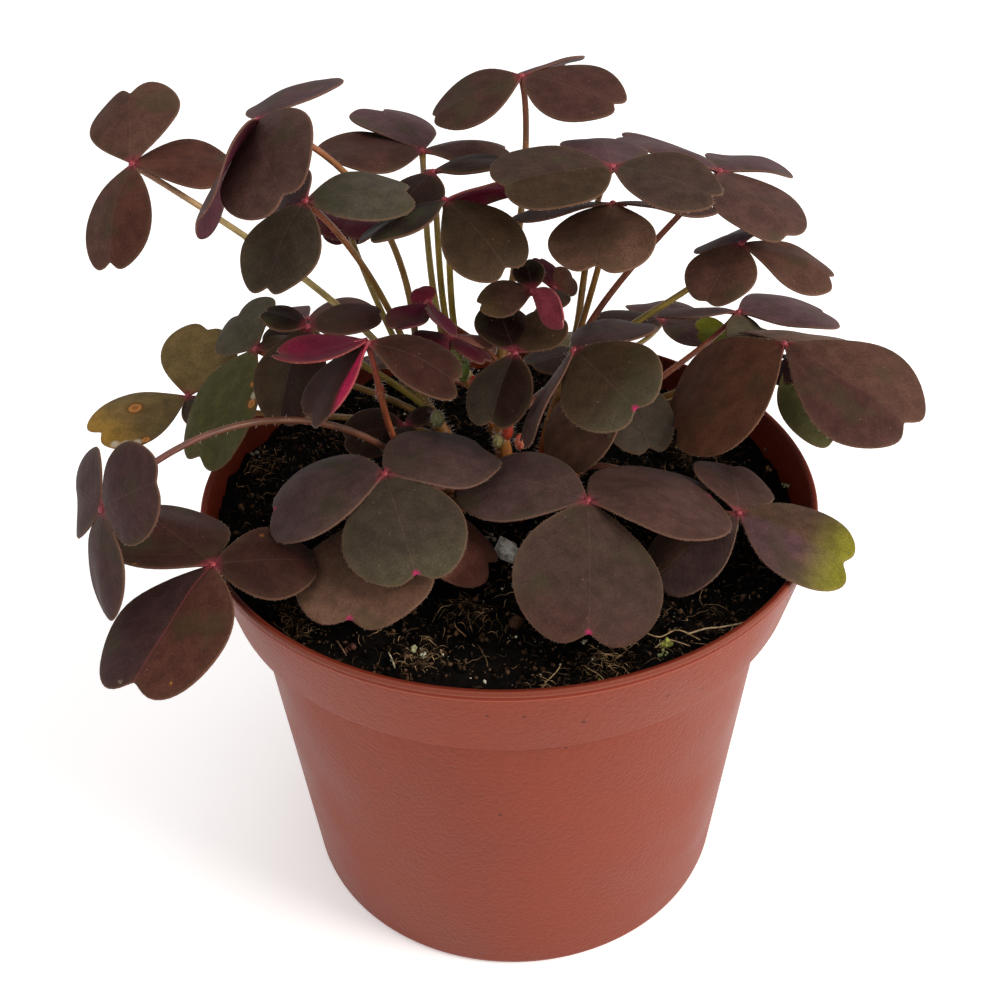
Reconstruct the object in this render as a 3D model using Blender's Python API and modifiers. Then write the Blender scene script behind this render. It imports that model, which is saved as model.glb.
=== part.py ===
# Potted volcanic sorrel: a leafy plant with three-part leaves in a round nursery pot.
# Metres, +Z up. The origin is the centre of the pot's underside.

import math

import bmesh
import bpy
from mathutils import Vector

MM = 0.001
# Points nearer than this, in metres, are one point: on a turned piece, and on a tube.
TURN_WELD = 0.00005
TUBE_WELD = 0.000001

# Pot. Radius and height of each corner, in millimetres, down the outside.
POT_STEPS = 56
POT_OUTSIDE = [(52.2, 80.2), (52.5, 79.9), (52.5, 78.8), (52.1, 78.4), (49.5, 67.2),
               (49.2, 65.4), (45.9, 65.1), (40.0, 1.2), (39.3, 0.3), (38.6, 0.0), (0.0, 0.0)]
# The inside, from the floor's centre up to the mouth.
POT_INSIDE = [(0.0, 1.8), (37.8, 1.8), (38.7, 2.8), (44.6, 66.2), (47.3, 66.5), (47.9, 67.0),
              (50.4, 77.6), (50.7, 78.1), (51.1, 79.9), (51.4, 80.2)]
DRAIN_COUNT = 6
DRAIN_RADIUS = 3.0
DRAIN_RING = 25.0
DRAIN_SIDES = 12
DRAIN_CUT_LOW = -2.0
DRAIN_CUT_HIGH = 5.0

# Soil. Its wall runs 0.3 mm or more inside the pot, and its top is a low mound with lumps.
SOIL_STEPS = 36
SOIL_TOP_RINGS = [4.5, 9.5, 15.0, 21.0, 27.0, 33.0, 39.0, 44.5, 49.2]
SOIL_WALL = [(47.4, 67.2), (47.0, 66.85), (44.2, 66.5), (38.3, 3.1), (37.5, 2.15)]
SOIL_LEVEL = 74.0
SOIL_MOUND = 2.6
SOIL_MOUND_WIDTH = 27.0
# How far the soil rises toward the left wall for each millimetre left of the middle.
SOIL_RISE = 0.05
SOIL_LUMP = 0.45
# Each wave of the lumps: strength, turns across X and Y in radians a millimetre, and start.
SOIL_WAVES = [(1.0, 0.31, 0.12, 0.7), (0.8, 0.23, -0.36, 1.9), (0.6, 0.62, 0.47, 0.3),
              (0.5, -0.44, 0.58, 2.6)]

# Stems. A hole in the soil is wider than its stem all round by this gap.
HOLE_BELOW_FOOT = 0.4
HOLE_TOP = 86.0
HOLE_GAP = 0.35
HOLE_SIDES = 12
STEM_BASE_RADIUS = 1.5
STEM_TOP_RADIUS = 0.9
STALK_BASE_RADIUS = 0.65
STALK_TIP_RADIUS = 0.48
STALK_POINTS = 5
TUBE_ROUNDING = 2
# A stalk's bend: how far its two guides reach, as shares of its span, and how square to the
# leaf it arrives.
FIRST_GUIDE = 0.3
SECOND_GUIDE = 0.25
SQUARENESS = 0.6

# Leaves. Each kind of leaflet: how deep its notch is, as a share of its length, and how far
# its outline opens to each side of the midrib, in degrees. The outline's points lie at shares
# of that opening.
OUTLINES = {"plain": (0.10, 52.0), "oval": (0.06, 54.0), "heart": (0.20, 45.0),
            "wedge": (0.10, 45.0)}
OUTLINE_SHARES = [-1.0, -0.77, -0.54, -0.31, -0.135, 0.0, 0.135, 0.31, 0.54, 0.77, 1.0]
BLADE_THICKNESS = 0.7
FAN_EDGE = 65.0
NOTCH_WIDTH = 6.0
LONGEST_REACH = 0.978
ARCH = 0.06
CUP = 0.12
BASE_REACH = 0.02
CENTRE_REACH = 0.5
HUB_RADIUS = 1.0
TIP_GAP = 0.6

POT_ROUGHNESS = 0.45
SOIL_ROUGHNESS = 0.95
STEM_ROUGHNESS = 0.5
LEAF_ROUGHNESS = 0.6

COLOURS = {
    "brown": (0.060, 0.030, 0.022),
    "purple": (0.055, 0.024, 0.028),
    "olive": (0.055, 0.045, 0.022),
    "grey": (0.040, 0.040, 0.026),
    "green": (0.090, 0.110, 0.020),
    "crimson": (0.160, 0.020, 0.055),
    "dark": (0.022, 0.012, 0.010),
    "stem": (0.260, 0.110, 0.045),
    "pot": (0.310, 0.085, 0.055),
    "soil": (0.018, 0.013, 0.008),
}

# Each stem: its points in millimetres, from the foot in the soil to the tip.
STEMS = {
    "stem_left": [(-8, 6, 65.5), (-8, 6, 79), (-12, 7, 88), (-17, 8, 97)],
    "stem_back": [(-1, 13, 65.5), (-1, 13, 79), (-5, 13, 90), (-11, 13, 102)],
    "stem_right": [(7, 10, 65.5), (7, 10, 79), (9, 11, 89), (12, 12, 99)],
    "stem_right_low": [(11, 1, 65.5), (11, 1, 79), (14, 3, 84), (18, 6, 88)],
    "stem_front": [(2, -5, 65.5), (2, -5, 79), (1, -6, 83), (0, -8, 87)],
    "stem_front_left": [(-9, -4, 65.5), (-9, -4, 79), (-12, -4, 82), (-16, -4, 85)],
    "stem_centre": [(0, 3, 65.5), (0, 3, 79), (-1, 4, 90), (-1, 4, 101)],
}

# Each leaf: name, colour, stem, how far along the stem its stalk starts, the stalk's bow and
# the hub in millimetres, and three leaflets. A leaflet is its heading and rise in degrees,
# its roll about its midrib, its length in millimetres, its breadth against a plain one and its
# kind of outline.
LEAVES = [
    ("leaf_top_left", "brown", "stem_left", 0.95, (1, 0, 3), (-55.5, 5, 136.5),
     [(96, 25, -17, 16.5, 0.95, "heart"), (-108, -47, 19, 17, 0.83, "plain"),
      (14, -8, 9, 15, 0.91, "wedge")]),
    ("leaf_upper_left", "purple", "stem_left", 0.90, (9, 8, 3), (-34.5, -3, 145.5),
     [(62, 2, -18, 16.5, 0.94, "plain"), (-115, -29, 59, 19.5, 0.86, "oval"),
      (-73, -15, 41, 19, 0.89, "plain")]),
    ("leaf_grey_left", "grey", "stem_left", 0.80, (3, 4, 0), (-28.5, -6, 134.5),
     [(11, -2, 10, 15.5, 0.87, "plain"), (-118, -37, -1, 15.5, 0.79, "plain"),
      (120, -10, -45, 10, 0.9, "plain")]),
    ("leaf_mid_left", "purple", "stem_back", 0.95, (0, 0, 0), (-12.5, 19, 132),
     [(-163, 6, -5, 16.5, 0.87, "oval"), (121, 9, 14, 16.5, 0.94, "heart"),
      (16, -5, 0, 14.5, 0.81, "wedge")]),
    ("leaf_mid_left_low", "dark", "stem_back", 0.85, (0, 0, 0), (-10.5, 6.5, 133.5),
     [(-120, -20, 0, 11, 0.9, "oval"), (5, 5, -5, 12, 0.8, "wedge"), (80, -20, 0, 5, 0.9, "plain")]),
    ("leaf_mid_front", "olive", "stem_back", 0.75, (0, 0, 0), (-8.5, -2, 132.5),
     [(-40, -35, 17, 15, 0.91, "wedge"), (-140, -9, 15, 15, 0.8, "wedge"),
      (25, -5, -40, 12, 0.8, "wedge")]),
    ("leaf_top", "purple", "stem_centre", 1.00, (2, 3, 0), (3.5, 15, 145),
     [(-175, -23, -13, 15, 0.87, "oval"), (-28, -9, 13, 16.5, 0.87, "plain"),
      (57, -8, -22, 15, 0.73, "wedge")]),
    ("leaf_upper_right", "grey", "stem_right", 1.00, (0, 11, 2), (16, -3.5, 137.5),
     [(-156, 0, -12, 18, 0.93, "oval"), (-25, -9, 8, 16.5, 0.87, "plain"),
      (93, -6, 6, 15.5, 0.89, "wedge")]),
    ("leaf_far_right", "brown", "stem_right", 0.95, (0, 4, 0), (34.5, 12.5, 130),
     [(53, -13, 2, 17.5, 0.87, "wedge"), (-56, -19, -8, 17, 0.98, "oval"),
      (153, 11, 14, 17.5, 0.8, "plain")]),
    ("leaf_mid_right", "grey", "stem_right", 0.90, (0, 0, 0), (17, 4.5, 128.5),
     [(-104, -15, 2, 16.5, 0.97, "plain"), (-175, -5, 20, 16, 0.85, "wedge"),
      (-5, -5, -20, 16, 0.85, "wedge")]),
    ("leaf_right_small", "brown", "stem_right", 0.80, (0, 0, 0), (37.5, 5, 121),
     [(-128, -30, -4, 12, 0.93, "oval"), (-14, -20, 2, 16, 0.85, "wedge"),
      (100, -20, -15, 12, 0.95, "plain")]),
    ("leaf_big_right", "brown", "stem_right_low", 0.95, (2, 4, -2), (45, 0.5, 105.5),
     [(-173, -43, -8, 24, 0.96, "plain"), (-36, -21, 10, 24.5, 0.96, "wedge"),
      (69, -24, -3, 20.5, 0.94, "wedge")]),
    ("leaf_behind_right", "purple", "stem_right_low", 1.00, (0, 0, 0), (41.5, 22, 100),
     [(19, -12, -3, 19.5, 0.92, "plain"), (170, -5, 18, 14.5, 0.81, "wedge"),
      (-80, -30, -10, 9, 0.85, "plain")]),
    ("leaf_under_right", "green", "stem_right_low", 0.90, (0, 3, -2), (49.5, 14, 95),
     [(-105, -15, 25, 6.5, 0.9, "plain"), (-66, -30, -5, 18, 0.9, "wedge"),
      (70, -25, -10, 7, 0.9, "plain")]),
    ("leaf_centre_right", "olive", "stem_centre", 0.60, (3, 6, -2), (10.5, -8, 110),
     [(-57, -11, 29, 17, 0.97, "plain"), (-150, -55, 35, 17, 0.8, "plain"),
      (45, -5, -15, 16, 0.9, "wedge")]),
    ("leaf_centre", "grey", "stem_centre", 0.80, (0, 0, 0), (1.5, -4, 107.5),
     [(-114, -37, 11, 13, 0.9, "plain"), (110, 25, 0, 10, 0.9, "plain"), (40, 20, 5, 10, 0.9, "plain")]),
    ("leaf_young_pink", "crimson", "stem_centre", 1.00, (0, 5, 0), (4.5, 1.5, 115.5),
     [(-170, -10, -20, 9, 0.8, "plain"), (-50, -20, -90, 8, 0.8, "plain"),
      (100, 30, 0, 6, 0.85, "plain")]),
    ("leaf_young_back", "brown", "stem_centre", 0.95, (0, 0, 0), (8.5, 14, 109.5),
     [(115, 30, 20, 6.5, 0.85, "plain"), (55, -5, 45, 6.5, 0.85, "plain"),
      (-90, -5, 0, 6, 0.85, "plain")]),
    ("leaf_young_crimson", "crimson", "stem_centre", 0.95, (0, 0, 0), (-8.5, -1, 109),
     [(-135, 12, -20, 7.5, 0.8, "plain"), (-45, -10, -15, 8, 0.7, "plain"),
      (15, -15, -5, 7, 0.75, "plain")]),
    ("leaf_young_purple", "crimson", "stem_centre", 0.98, (0, 0, 0), (-12, 1, 114),
     [(-125, -5, 175, 9, 0.7, "wedge"), (-65, -15, 140, 8, 0.7, "wedge"),
      (110, 5, -20, 5, 0.85, "plain")]),
    ("leaf_left_dark", "dark", "stem_left", 0.75, (0, 0, 0), (-31, -1, 111.5),
     [(168, 16, -3, 7.5, 0.92, "plain"), (9, 4, 3, 11.5, 0.83, "oval"),
      (-117, -47, 12, 16, 0.93, "oval")]),
    ("leaf_crimson", "crimson", "stem_front_left", 0.95, (0, 0, 0), (-20.5, -14, 115.5),
     [(-176, -5, -171, 14, 0.8, "plain"), (-150, -43, 10, 15, 0.88, "wedge"),
      (-1, -28, 12, 15.5, 0.85, "wedge")]),
    ("leaf_left_green", "green", "stem_left", 0.65, (0, 0, 0), (-41.5, 7.5, 103),
     [(-133, -46, 9, 22, 0.82, "plain"), (110, -1, -36, 15, 0.91, "heart"),
      (20, 0, 0, 7, 0.85, "plain")]),
    ("leaf_left_olive", "olive", "stem_left", 0.55, (0, 0, 0), (-55.5, 12, 91.5),
     [(79, 26, 7, 15, 0.91, "plain"), (-142, -3, -3, 18, 0.85, "wedge"),
      (-45, -16, 0, 10, 0.85, "plain")]),
    ("leaf_far_left", "purple", "stem_front_left", 0.90, (0, 0, 15), (-59, -31.5, 99),
     [(-31, 35, 61, 15.5, 0.94, "oval"), (120, -16, -64, 16, 0.91, "heart"),
      (-94, -64, 49, 16.5, 0.78, "oval")]),
    ("leaf_front_left_low", "brown", "stem_front_left", 0.80, (0, 0, 0), (-45, -30, 87),
     [(139, 2, 11, 20, 1.07, "oval"), (9, -8, 9, 15.5, 0.92, "oval"),
      (-115, -18, 13, 23.5, 0.99, "plain")]),
    ("leaf_front_left", "purple", "stem_front", 0.95, (0, -1, -2), (-19, -20, 96),
     [(176, -22, -3, 20.5, 1.01, "oval"), (37, -9, -1, 19.5, 1.01, "oval"),
      (-72, -25, 9, 19.5, 0.97, "plain")]),
    ("leaf_front_under", "olive", "stem_front", 0.75, (0, 0, 0), (-18.5, -17.5, 87.5),
     [(-107, -18, 3, 22.5, 1.02, "wedge"), (-18, -28, 0, 19, 0.8, "wedge"),
      (-175, 15, 5, 12, 0.85, "plain")]),
    ("leaf_front", "brown", "stem_front", 0.90, (0, 0, 0), (12, -22, 91.5),
     [(153, -5, -1, 21.5, 0.88, "plain"), (22, -14, -5, 23.5, 1.13, "oval"),
      (-94, -28, -18, 24.5, 0.95, "plain")]),
    ("leaf_right_front", "olive", "stem_right_low", 0.60, (0, 0, 0), (36.5, -17.5, 85),
     [(-26, -15, 6, 19.5, 0.92, "plain"), (86, -2, 19, 14.5, 1.01, "wedge"),
      (-149, -23, 8, 18, 0.89, "wedge")]),
    ("leaf_under_centre", "olive", "stem_right_low", 0.75, (0, 0, 0), (19, 6, 97),
     [(-145, -45, 5, 19, 0.85, "oval"), (-66, -37, 0, 15, 0.84, "plain"),
      (65, 5, -10, 9, 0.85, "plain")]),
    ("leaf_back_left", "brown", "stem_left", 0.70, (0, 0, 0), (-27, 28, 117),
     [(-120, 10, -25, 9, 0.85, "oval"), (-45, 5, 10, 10, 0.85, "oval"), (100, -55, 5, 9, 0.9, "plain")]),
    ("leaf_low_dark", "dark", "stem_front_left", 0.70, (0, 0, 0), (-17, 0, 92),
     [(-175, -10, -30, 10.5, 0.9, "oval"), (30, 10, 0, 6, 0.85, "plain"), (-85, 5, 0, 5, 0.85, "plain")]),
    ("leaf_bright_green", "green", "stem_right_low", 0.85, (1, -1, -2), (43.5, 30, 90),
     [(-165, 20, -25, 9, 0.9, "plain"), (40, -5, 0, 8, 0.85, "plain"), (-80, -20, 15, 6, 0.85, "plain")]),
    ("leaf_back_low_left", "brown", "stem_back", 0.60, (2, 0, -1), (-14, 32, 86),
     [(150, -10, 5, 16, 0.9, "heart"), (35, -5, -5, 15, 0.85, "plain"), (-95, 5, 0, 12, 0.85, "plain")]),
    ("leaf_back_low_right", "olive", "stem_right", 0.60, (0, 0, 0), (16, 35, 85),
     [(95, -15, 5, 17, 0.9, "plain"), (-30, 0, 5, 13, 0.85, "heart"), (-150, 5, 0, 13, 0.85, "oval")]),
    ("leaf_back_far_left", "purple", "stem_back", 0.70, (0, 0, 0), (-36, 31, 96),
     [(140, -15, 5, 16, 0.9, "heart"), (20, -5, 0, 14, 0.85, "plain"),
      (-110, -5, -5, 12, 0.85, "plain")]),
    ("leaf_back_right", "grey", "stem_right", 0.70, (0, 0, 0), (31, 42, 88),
     [(85, -15, 0, 16, 0.9, "plain"), (-40, 0, 5, 12, 0.85, "oval"), (-160, 5, 0, 14, 0.85, "plain")]),
]


def clear_scene():
    for thing in list(bpy.data.objects):
        bpy.data.objects.remove(thing)


def make_material(name, colour, roughness):
    material = bpy.data.materials.new(name)
    material.use_nodes = True
    shader = material.node_tree.nodes["Principled BSDF"]
    shader.inputs["Base Color"].default_value = (*colour, 1.0)
    shader.inputs["Roughness"].default_value = roughness
    shader.inputs["Metallic"].default_value = 0.0
    return material


def add_object(name, mesh, home):
    thing = bpy.data.objects.new(name, mesh)
    home.objects.link(thing)
    return thing


def new_collection(name):
    home = bpy.data.collections.new(name)
    bpy.context.scene.collection.children.link(home)
    return home


def bake(thing):
    # The finished surface replaces the base mesh, and the modifiers go.
    bpy.context.view_layer.update()
    graph = bpy.context.evaluated_depsgraph_get()
    mesh = bpy.data.meshes.new_from_object(thing.evaluated_get(graph))
    thing.modifiers.clear()
    thing.data = mesh


def mesh_from(bm, name):
    mesh = bpy.data.meshes.new(name)
    bm.to_mesh(mesh)
    bm.free()
    return mesh


def outline_mesh(name, profile):
    # Half of a round piece's section, in the X-Z plane, from its inside to its outside.
    mesh = bpy.data.meshes.new(name)
    points = [(r * MM, 0.0, z * MM) for r, z in profile]
    edges = [(i, i + 1) for i in range(len(points) - 1)]
    mesh.from_pydata(points, edges, [])
    return mesh


def add_screw(thing, steps):
    screw = thing.modifiers.new("turn", "SCREW")
    screw.axis = "Z"
    screw.steps = steps
    screw.render_steps = steps
    screw.use_merge_vertices = True
    screw.merge_threshold = TURN_WELD
    screw.use_normal_calculate = False


def add_boolean(thing, operation, collection, solver="EXACT"):
    boolean = thing.modifiers.new("join", "BOOLEAN")
    boolean.operation = operation
    boolean.operand_type = "COLLECTION"
    boolean.collection = collection
    boolean.solver = solver


def remove_collection(collection):
    for thing in list(collection.objects):
        bpy.data.objects.remove(thing)
    bpy.data.collections.remove(collection)


def cylinder_mesh(name, centre, radius, low, high, sides):
    bm = bmesh.new()
    bmesh.ops.create_cone(bm, cap_ends=True, segments=sides, radius1=radius * MM,
                          radius2=radius * MM, depth=(high - low) * MM)
    middle = Vector((centre[0], centre[1], (low + high) / 2)) * MM
    bmesh.ops.translate(bm, verts=bm.verts, vec=middle)
    return mesh_from(bm, name)


def shade_smooth(mesh):
    for face in mesh.polygons:
        face.use_smooth = True


def leaflet_frame(heading, rise, roll):
    # The midrib, the sideways direction and the upper face's direction.
    turn = math.radians(heading)
    lift = math.radians(rise)
    along = Vector((math.cos(turn) * math.cos(lift), math.sin(turn) * math.cos(lift),
                    math.sin(lift)))
    side = Vector((-math.sin(turn), math.cos(turn), 0.0))
    up = along.cross(side)
    tilt = math.radians(roll)
    rolled_side = side * math.cos(tilt) + up * math.sin(tilt)
    rolled_up = up * math.cos(tilt) - side * math.sin(tilt)
    return along, rolled_side, rolled_up


def leaflet_reach(angle, notch_depth):
    # The distance from the base to the edge for a leaflet of length one, dipping at the notch.
    fan = math.sqrt(max(math.cos(math.radians(90.0 * angle / FAN_EDGE)), 0.0))
    notch = 1.0 - notch_depth * math.exp(-(angle / NOTCH_WIDTH) ** 2)
    return fan * notch / LONGEST_REACH


def leaflet_mesh(name, hub, heading, rise, roll, length, breadth, kind):
    along, side, up = leaflet_frame(heading, rise, roll)
    notch_depth, opening = OUTLINES[kind]
    flat = [(BASE_REACH, 0.0)]
    for share in OUTLINE_SHARES:
        angle = opening * share
        reach = leaflet_reach(angle, notch_depth)
        flat.append((reach * math.cos(math.radians(angle)),
                     reach * math.sin(math.radians(angle)) * breadth))
    flat.append((CENTRE_REACH, 0.0))
    bm = bmesh.new()
    top = []
    bottom = []
    for u, v in flat:
        height = 4 * ARCH * u * (1 - u) - CUP * v * v
        point = Vector(hub) + (along * u + side * v + up * height) * length
        top.append(bm.verts.new(point * MM))
        bottom.append(bm.verts.new((point - up * BLADE_THICKNESS) * MM))
    middle = len(flat) - 1
    for i in range(middle):
        j = (i + 1) % middle
        bm.faces.new((top[i], top[j], top[middle]))
        bm.faces.new((bottom[j], bottom[i], bottom[middle]))
        bm.faces.new((top[j], top[i], bottom[i]))
        bm.faces.new((top[j], bottom[i], bottom[j]))
    bmesh.ops.recalc_face_normals(bm, faces=bm.faces)
    return mesh_from(bm, name)


def add_leaf(name, hub, leaflets, material):
    home = new_collection(name)
    bm = bmesh.new()
    bmesh.ops.create_icosphere(bm, subdivisions=1, radius=HUB_RADIUS * MM)
    bmesh.ops.translate(bm, verts=bm.verts, vec=Vector(hub) * MM)
    leaf = add_object(name, mesh_from(bm, name), home)
    blades = new_collection(name + "_blades")
    for number, leaflet in enumerate(leaflets):
        blade_name = name + "_blade_" + str(number)
        add_object(blade_name, leaflet_mesh(blade_name, hub, *leaflet), blades)
    add_boolean(leaf, "UNION", blades)
    bake(leaf)
    remove_collection(blades)
    leaf.data.materials.clear()
    leaf.data.materials.append(material)
    return leaf


def tube_object(name, points, radii, home):
    # A closed round tube along straight pieces, built as a curve and turned into a mesh.
    curve = bpy.data.curves.new(name + "_path", "CURVE")
    curve.dimensions = "3D"
    curve.bevel_depth = MM
    curve.bevel_resolution = TUBE_ROUNDING
    curve.use_fill_caps = True
    spline = curve.splines.new("POLY")
    spline.points.add(len(points) - 1)
    for place, point, radius in zip(spline.points, points, radii):
        place.co = (*(Vector(point) * MM), 1.0)
        place.radius = radius
    path = add_object(name + "_path", curve, home)
    bpy.context.view_layer.update()
    graph = bpy.context.evaluated_depsgraph_get()
    mesh = bpy.data.meshes.new_from_object(path.evaluated_get(graph))
    bpy.data.objects.remove(path)
    bm = bmesh.new()
    bm.from_mesh(mesh)
    bmesh.ops.remove_doubles(bm, verts=bm.verts, dist=TUBE_WELD)
    bmesh.ops.recalc_face_normals(bm, faces=bm.faces)
    return add_object(name, mesh_from(bm, name), home)


def point_along(points, share):
    # The point at a share of a path's length, and the path's direction there.
    lengths = [(Vector(b) - Vector(a)).length for a, b in zip(points, points[1:])]
    left = share * sum(lengths)
    for a, b, length in zip(points, points[1:], lengths):
        if left <= length or b == points[-1]:
            direction = (Vector(b) - Vector(a)).normalized()
            return Vector(a) + direction * min(left, length), direction
        left -= length


def stalk_points(stem, share, bow, hub, leaflets):
    # A stalk leaves its stem part way between the stem's direction and the leaf's, bends by
    # its bow and arrives under the hub, square to the leaf as far as its slant allows.
    start, stem_direction = point_along(stem, share)
    upward = Vector((0.0, 0.0, 0.0))
    for heading, rise, roll, length, breadth, kind in leaflets:
        face = leaflet_frame(heading, rise, roll)[2]
        upward += face if face.z > 0 else -face
    upward.normalize()
    to_hub = (Vector(hub) - start).normalized()
    arrival = (upward * SQUARENESS + to_hub * (1 - SQUARENESS)).normalized()
    end = Vector(hub) - arrival * (HUB_RADIUS + TIP_GAP)
    span = (end - start).length
    first = start + (stem_direction + to_hub).normalized() * span * FIRST_GUIDE + Vector(bow)
    second = end - (arrival + to_hub).normalized() * span * SECOND_GUIDE + Vector(bow)
    points = []
    for i in range(STALK_POINTS):
        t = i / (STALK_POINTS - 1)
        points.append(start * (1 - t) ** 3 + first * 3 * t * (1 - t) ** 2
                      + second * 3 * t * t * (1 - t) + end * t ** 3)
    return points


def add_stem(name, points, material):
    home = new_collection(name)
    last = len(points) - 1
    radii = [STEM_BASE_RADIUS + (STEM_TOP_RADIUS - STEM_BASE_RADIUS) * i / last
             for i in range(last + 1)]
    stem = tube_object(name, points, radii, home)
    stalks = new_collection(name + "_stalks")
    for leaf, colour, owner, share, bow, hub, leaflets in LEAVES:
        if owner == name:
            path = stalk_points(points, share, bow, hub, leaflets)
            ends = len(path) - 1
            sizes = [STALK_BASE_RADIUS
                     + (STALK_TIP_RADIUS - STALK_BASE_RADIUS) * i / ends
                     for i in range(ends + 1)]
            tube_object(leaf + "_stalk", path, sizes, stalks)
    add_boolean(stem, "UNION", stalks)
    bake(stem)
    remove_collection(stalks)
    shade_smooth(stem.data)
    stem.data.materials.clear()
    stem.data.materials.append(material)
    return stem


def soil_height(x, y):
    # A low mound with lumps that die away at the wall, banked up on the left.
    radius = math.hypot(x, y)
    bank = SOIL_RISE * max(-x, 0.0)
    mound = SOIL_MOUND * math.exp(-(radius / SOIL_MOUND_WIDTH) ** 2)
    lumps = sum(size * math.sin(across * x + deep * y + start)
                for size, across, deep, start in SOIL_WAVES)
    fade = 1.0 - (radius / SOIL_TOP_RINGS[-1]) ** 6
    return SOIL_LEVEL + bank + mound + SOIL_LUMP * lumps * fade


def add_soil(material):
    home = new_collection("soil")
    bm = bmesh.new()
    rings = []
    for radius in SOIL_TOP_RINGS:
        ring = []
        for i in range(SOIL_STEPS):
            turn = 2 * math.pi * i / SOIL_STEPS
            x = radius * math.cos(turn)
            y = radius * math.sin(turn)
            ring.append(bm.verts.new(Vector((x, y, soil_height(x, y))) * MM))
        rings.append(ring)
    for radius, height in SOIL_WALL:
        ring = []
        for i in range(SOIL_STEPS):
            turn = 2 * math.pi * i / SOIL_STEPS
            point = Vector((radius * math.cos(turn), radius * math.sin(turn), height))
            ring.append(bm.verts.new(point * MM))
        rings.append(ring)
    crown = bm.verts.new(Vector((0.0, 0.0, soil_height(0.0, 0.0))) * MM)
    floor = bm.verts.new(Vector((0.0, 0.0, SOIL_WALL[-1][1])) * MM)
    for i in range(SOIL_STEPS):
        j = (i + 1) % SOIL_STEPS
        bm.faces.new((crown, rings[0][i], rings[0][j]))
        bm.faces.new((floor, rings[-1][j], rings[-1][i]))
        for inner, outer in zip(rings, rings[1:]):
            bm.faces.new((inner[i], outer[i], outer[j]))
            bm.faces.new((inner[i], outer[j], inner[j]))
    bmesh.ops.recalc_face_normals(bm, faces=bm.faces)
    soil = add_object("soil", mesh_from(bm, "soil"), home)
    holes = new_collection("stem_holes")
    for name, points in STEMS.items():
        hole = cylinder_mesh(name + "_hole", points[0], STEM_BASE_RADIUS + HOLE_GAP,
                             points[0][2] - HOLE_BELOW_FOOT, HOLE_TOP, HOLE_SIDES)
        add_object(name + "_hole", hole, holes)
    add_boolean(soil, "DIFFERENCE", holes)
    bake(soil)
    remove_collection(holes)
    soil.data.materials.clear()
    soil.data.materials.append(material)
    return soil


def add_pot(material):
    home = new_collection("pot")
    pot = add_object("pot", outline_mesh("pot", POT_INSIDE + POT_OUTSIDE), home)
    add_screw(pot, POT_STEPS)
    bake(pot)
    bm = bmesh.new()
    bm.from_mesh(pot.data)
    bmesh.ops.recalc_face_normals(bm, faces=bm.faces)
    bm.to_mesh(pot.data)
    bm.free()
    drains = new_collection("drain_holes")
    for i in range(DRAIN_COUNT):
        turn = 2 * math.pi * i / DRAIN_COUNT
        centre = (DRAIN_RING * math.cos(turn), DRAIN_RING * math.sin(turn))
        name = "drain_hole_" + str(i)
        add_object(name, cylinder_mesh(name, centre, DRAIN_RADIUS, DRAIN_CUT_LOW,
                                       DRAIN_CUT_HIGH, DRAIN_SIDES), drains)
    add_boolean(pot, "DIFFERENCE", drains)
    bake(pot)
    remove_collection(drains)
    shade_smooth(pot.data)
    pot.data.materials.clear()
    pot.data.materials.append(material)
    return pot


clear_scene()
add_pot(make_material("pot", COLOURS["pot"], POT_ROUGHNESS))
add_soil(make_material("soil", COLOURS["soil"], SOIL_ROUGHNESS))
for stem_name, stem_points in STEMS.items():
    add_stem(stem_name, stem_points,
             make_material(stem_name, COLOURS["stem"], STEM_ROUGHNESS))
for leaf_name, colour_name, stem_owner, start_share, stalk_bow, hub_place, blade_list in LEAVES:
    add_leaf(leaf_name, hub_place, blade_list,
             make_material(leaf_name, COLOURS[colour_name], LEAF_ROUGHNESS))
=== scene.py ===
# Potted volcanic sorrel: dark three-part leaves on hairy stalks, in peat, in a moulded pot.
# Sizes in the dictionaries are millimetres, from the middle of the pot's underside, but where a
# note says metres.
import math

import bpy
import numpy as np
from mathutils import Matrix


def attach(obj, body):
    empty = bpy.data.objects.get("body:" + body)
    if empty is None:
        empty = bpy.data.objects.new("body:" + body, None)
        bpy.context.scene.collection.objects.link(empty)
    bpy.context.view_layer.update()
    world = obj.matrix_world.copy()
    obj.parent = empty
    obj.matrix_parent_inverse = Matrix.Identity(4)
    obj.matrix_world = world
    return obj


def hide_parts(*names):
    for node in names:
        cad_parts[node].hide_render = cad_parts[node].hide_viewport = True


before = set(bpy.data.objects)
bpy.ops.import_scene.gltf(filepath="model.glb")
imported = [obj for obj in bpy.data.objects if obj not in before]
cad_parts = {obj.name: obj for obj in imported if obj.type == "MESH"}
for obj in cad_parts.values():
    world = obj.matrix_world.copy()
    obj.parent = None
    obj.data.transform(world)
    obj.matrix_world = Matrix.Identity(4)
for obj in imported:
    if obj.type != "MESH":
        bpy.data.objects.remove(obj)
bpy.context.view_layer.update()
mm = 0.001
fullTurn = 2 * math.pi
farAway = 50.0      # mm, a gap at which no mark shows
chance = np.random.default_rng(11)


# Colours and nodes
def linear(hexCode):
    # sRGB to linear, channel by channel: ((c + 0.055) / 1.055) ^ 2.4 above 0.04045
    c = np.array([int(hexCode[i:i + 2], 16) for i in (1, 3, 5)]) / 255
    return np.where(c < 0.04045, c / 12.92, ((c + 0.055) / 1.055) ** 2.4)


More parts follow.
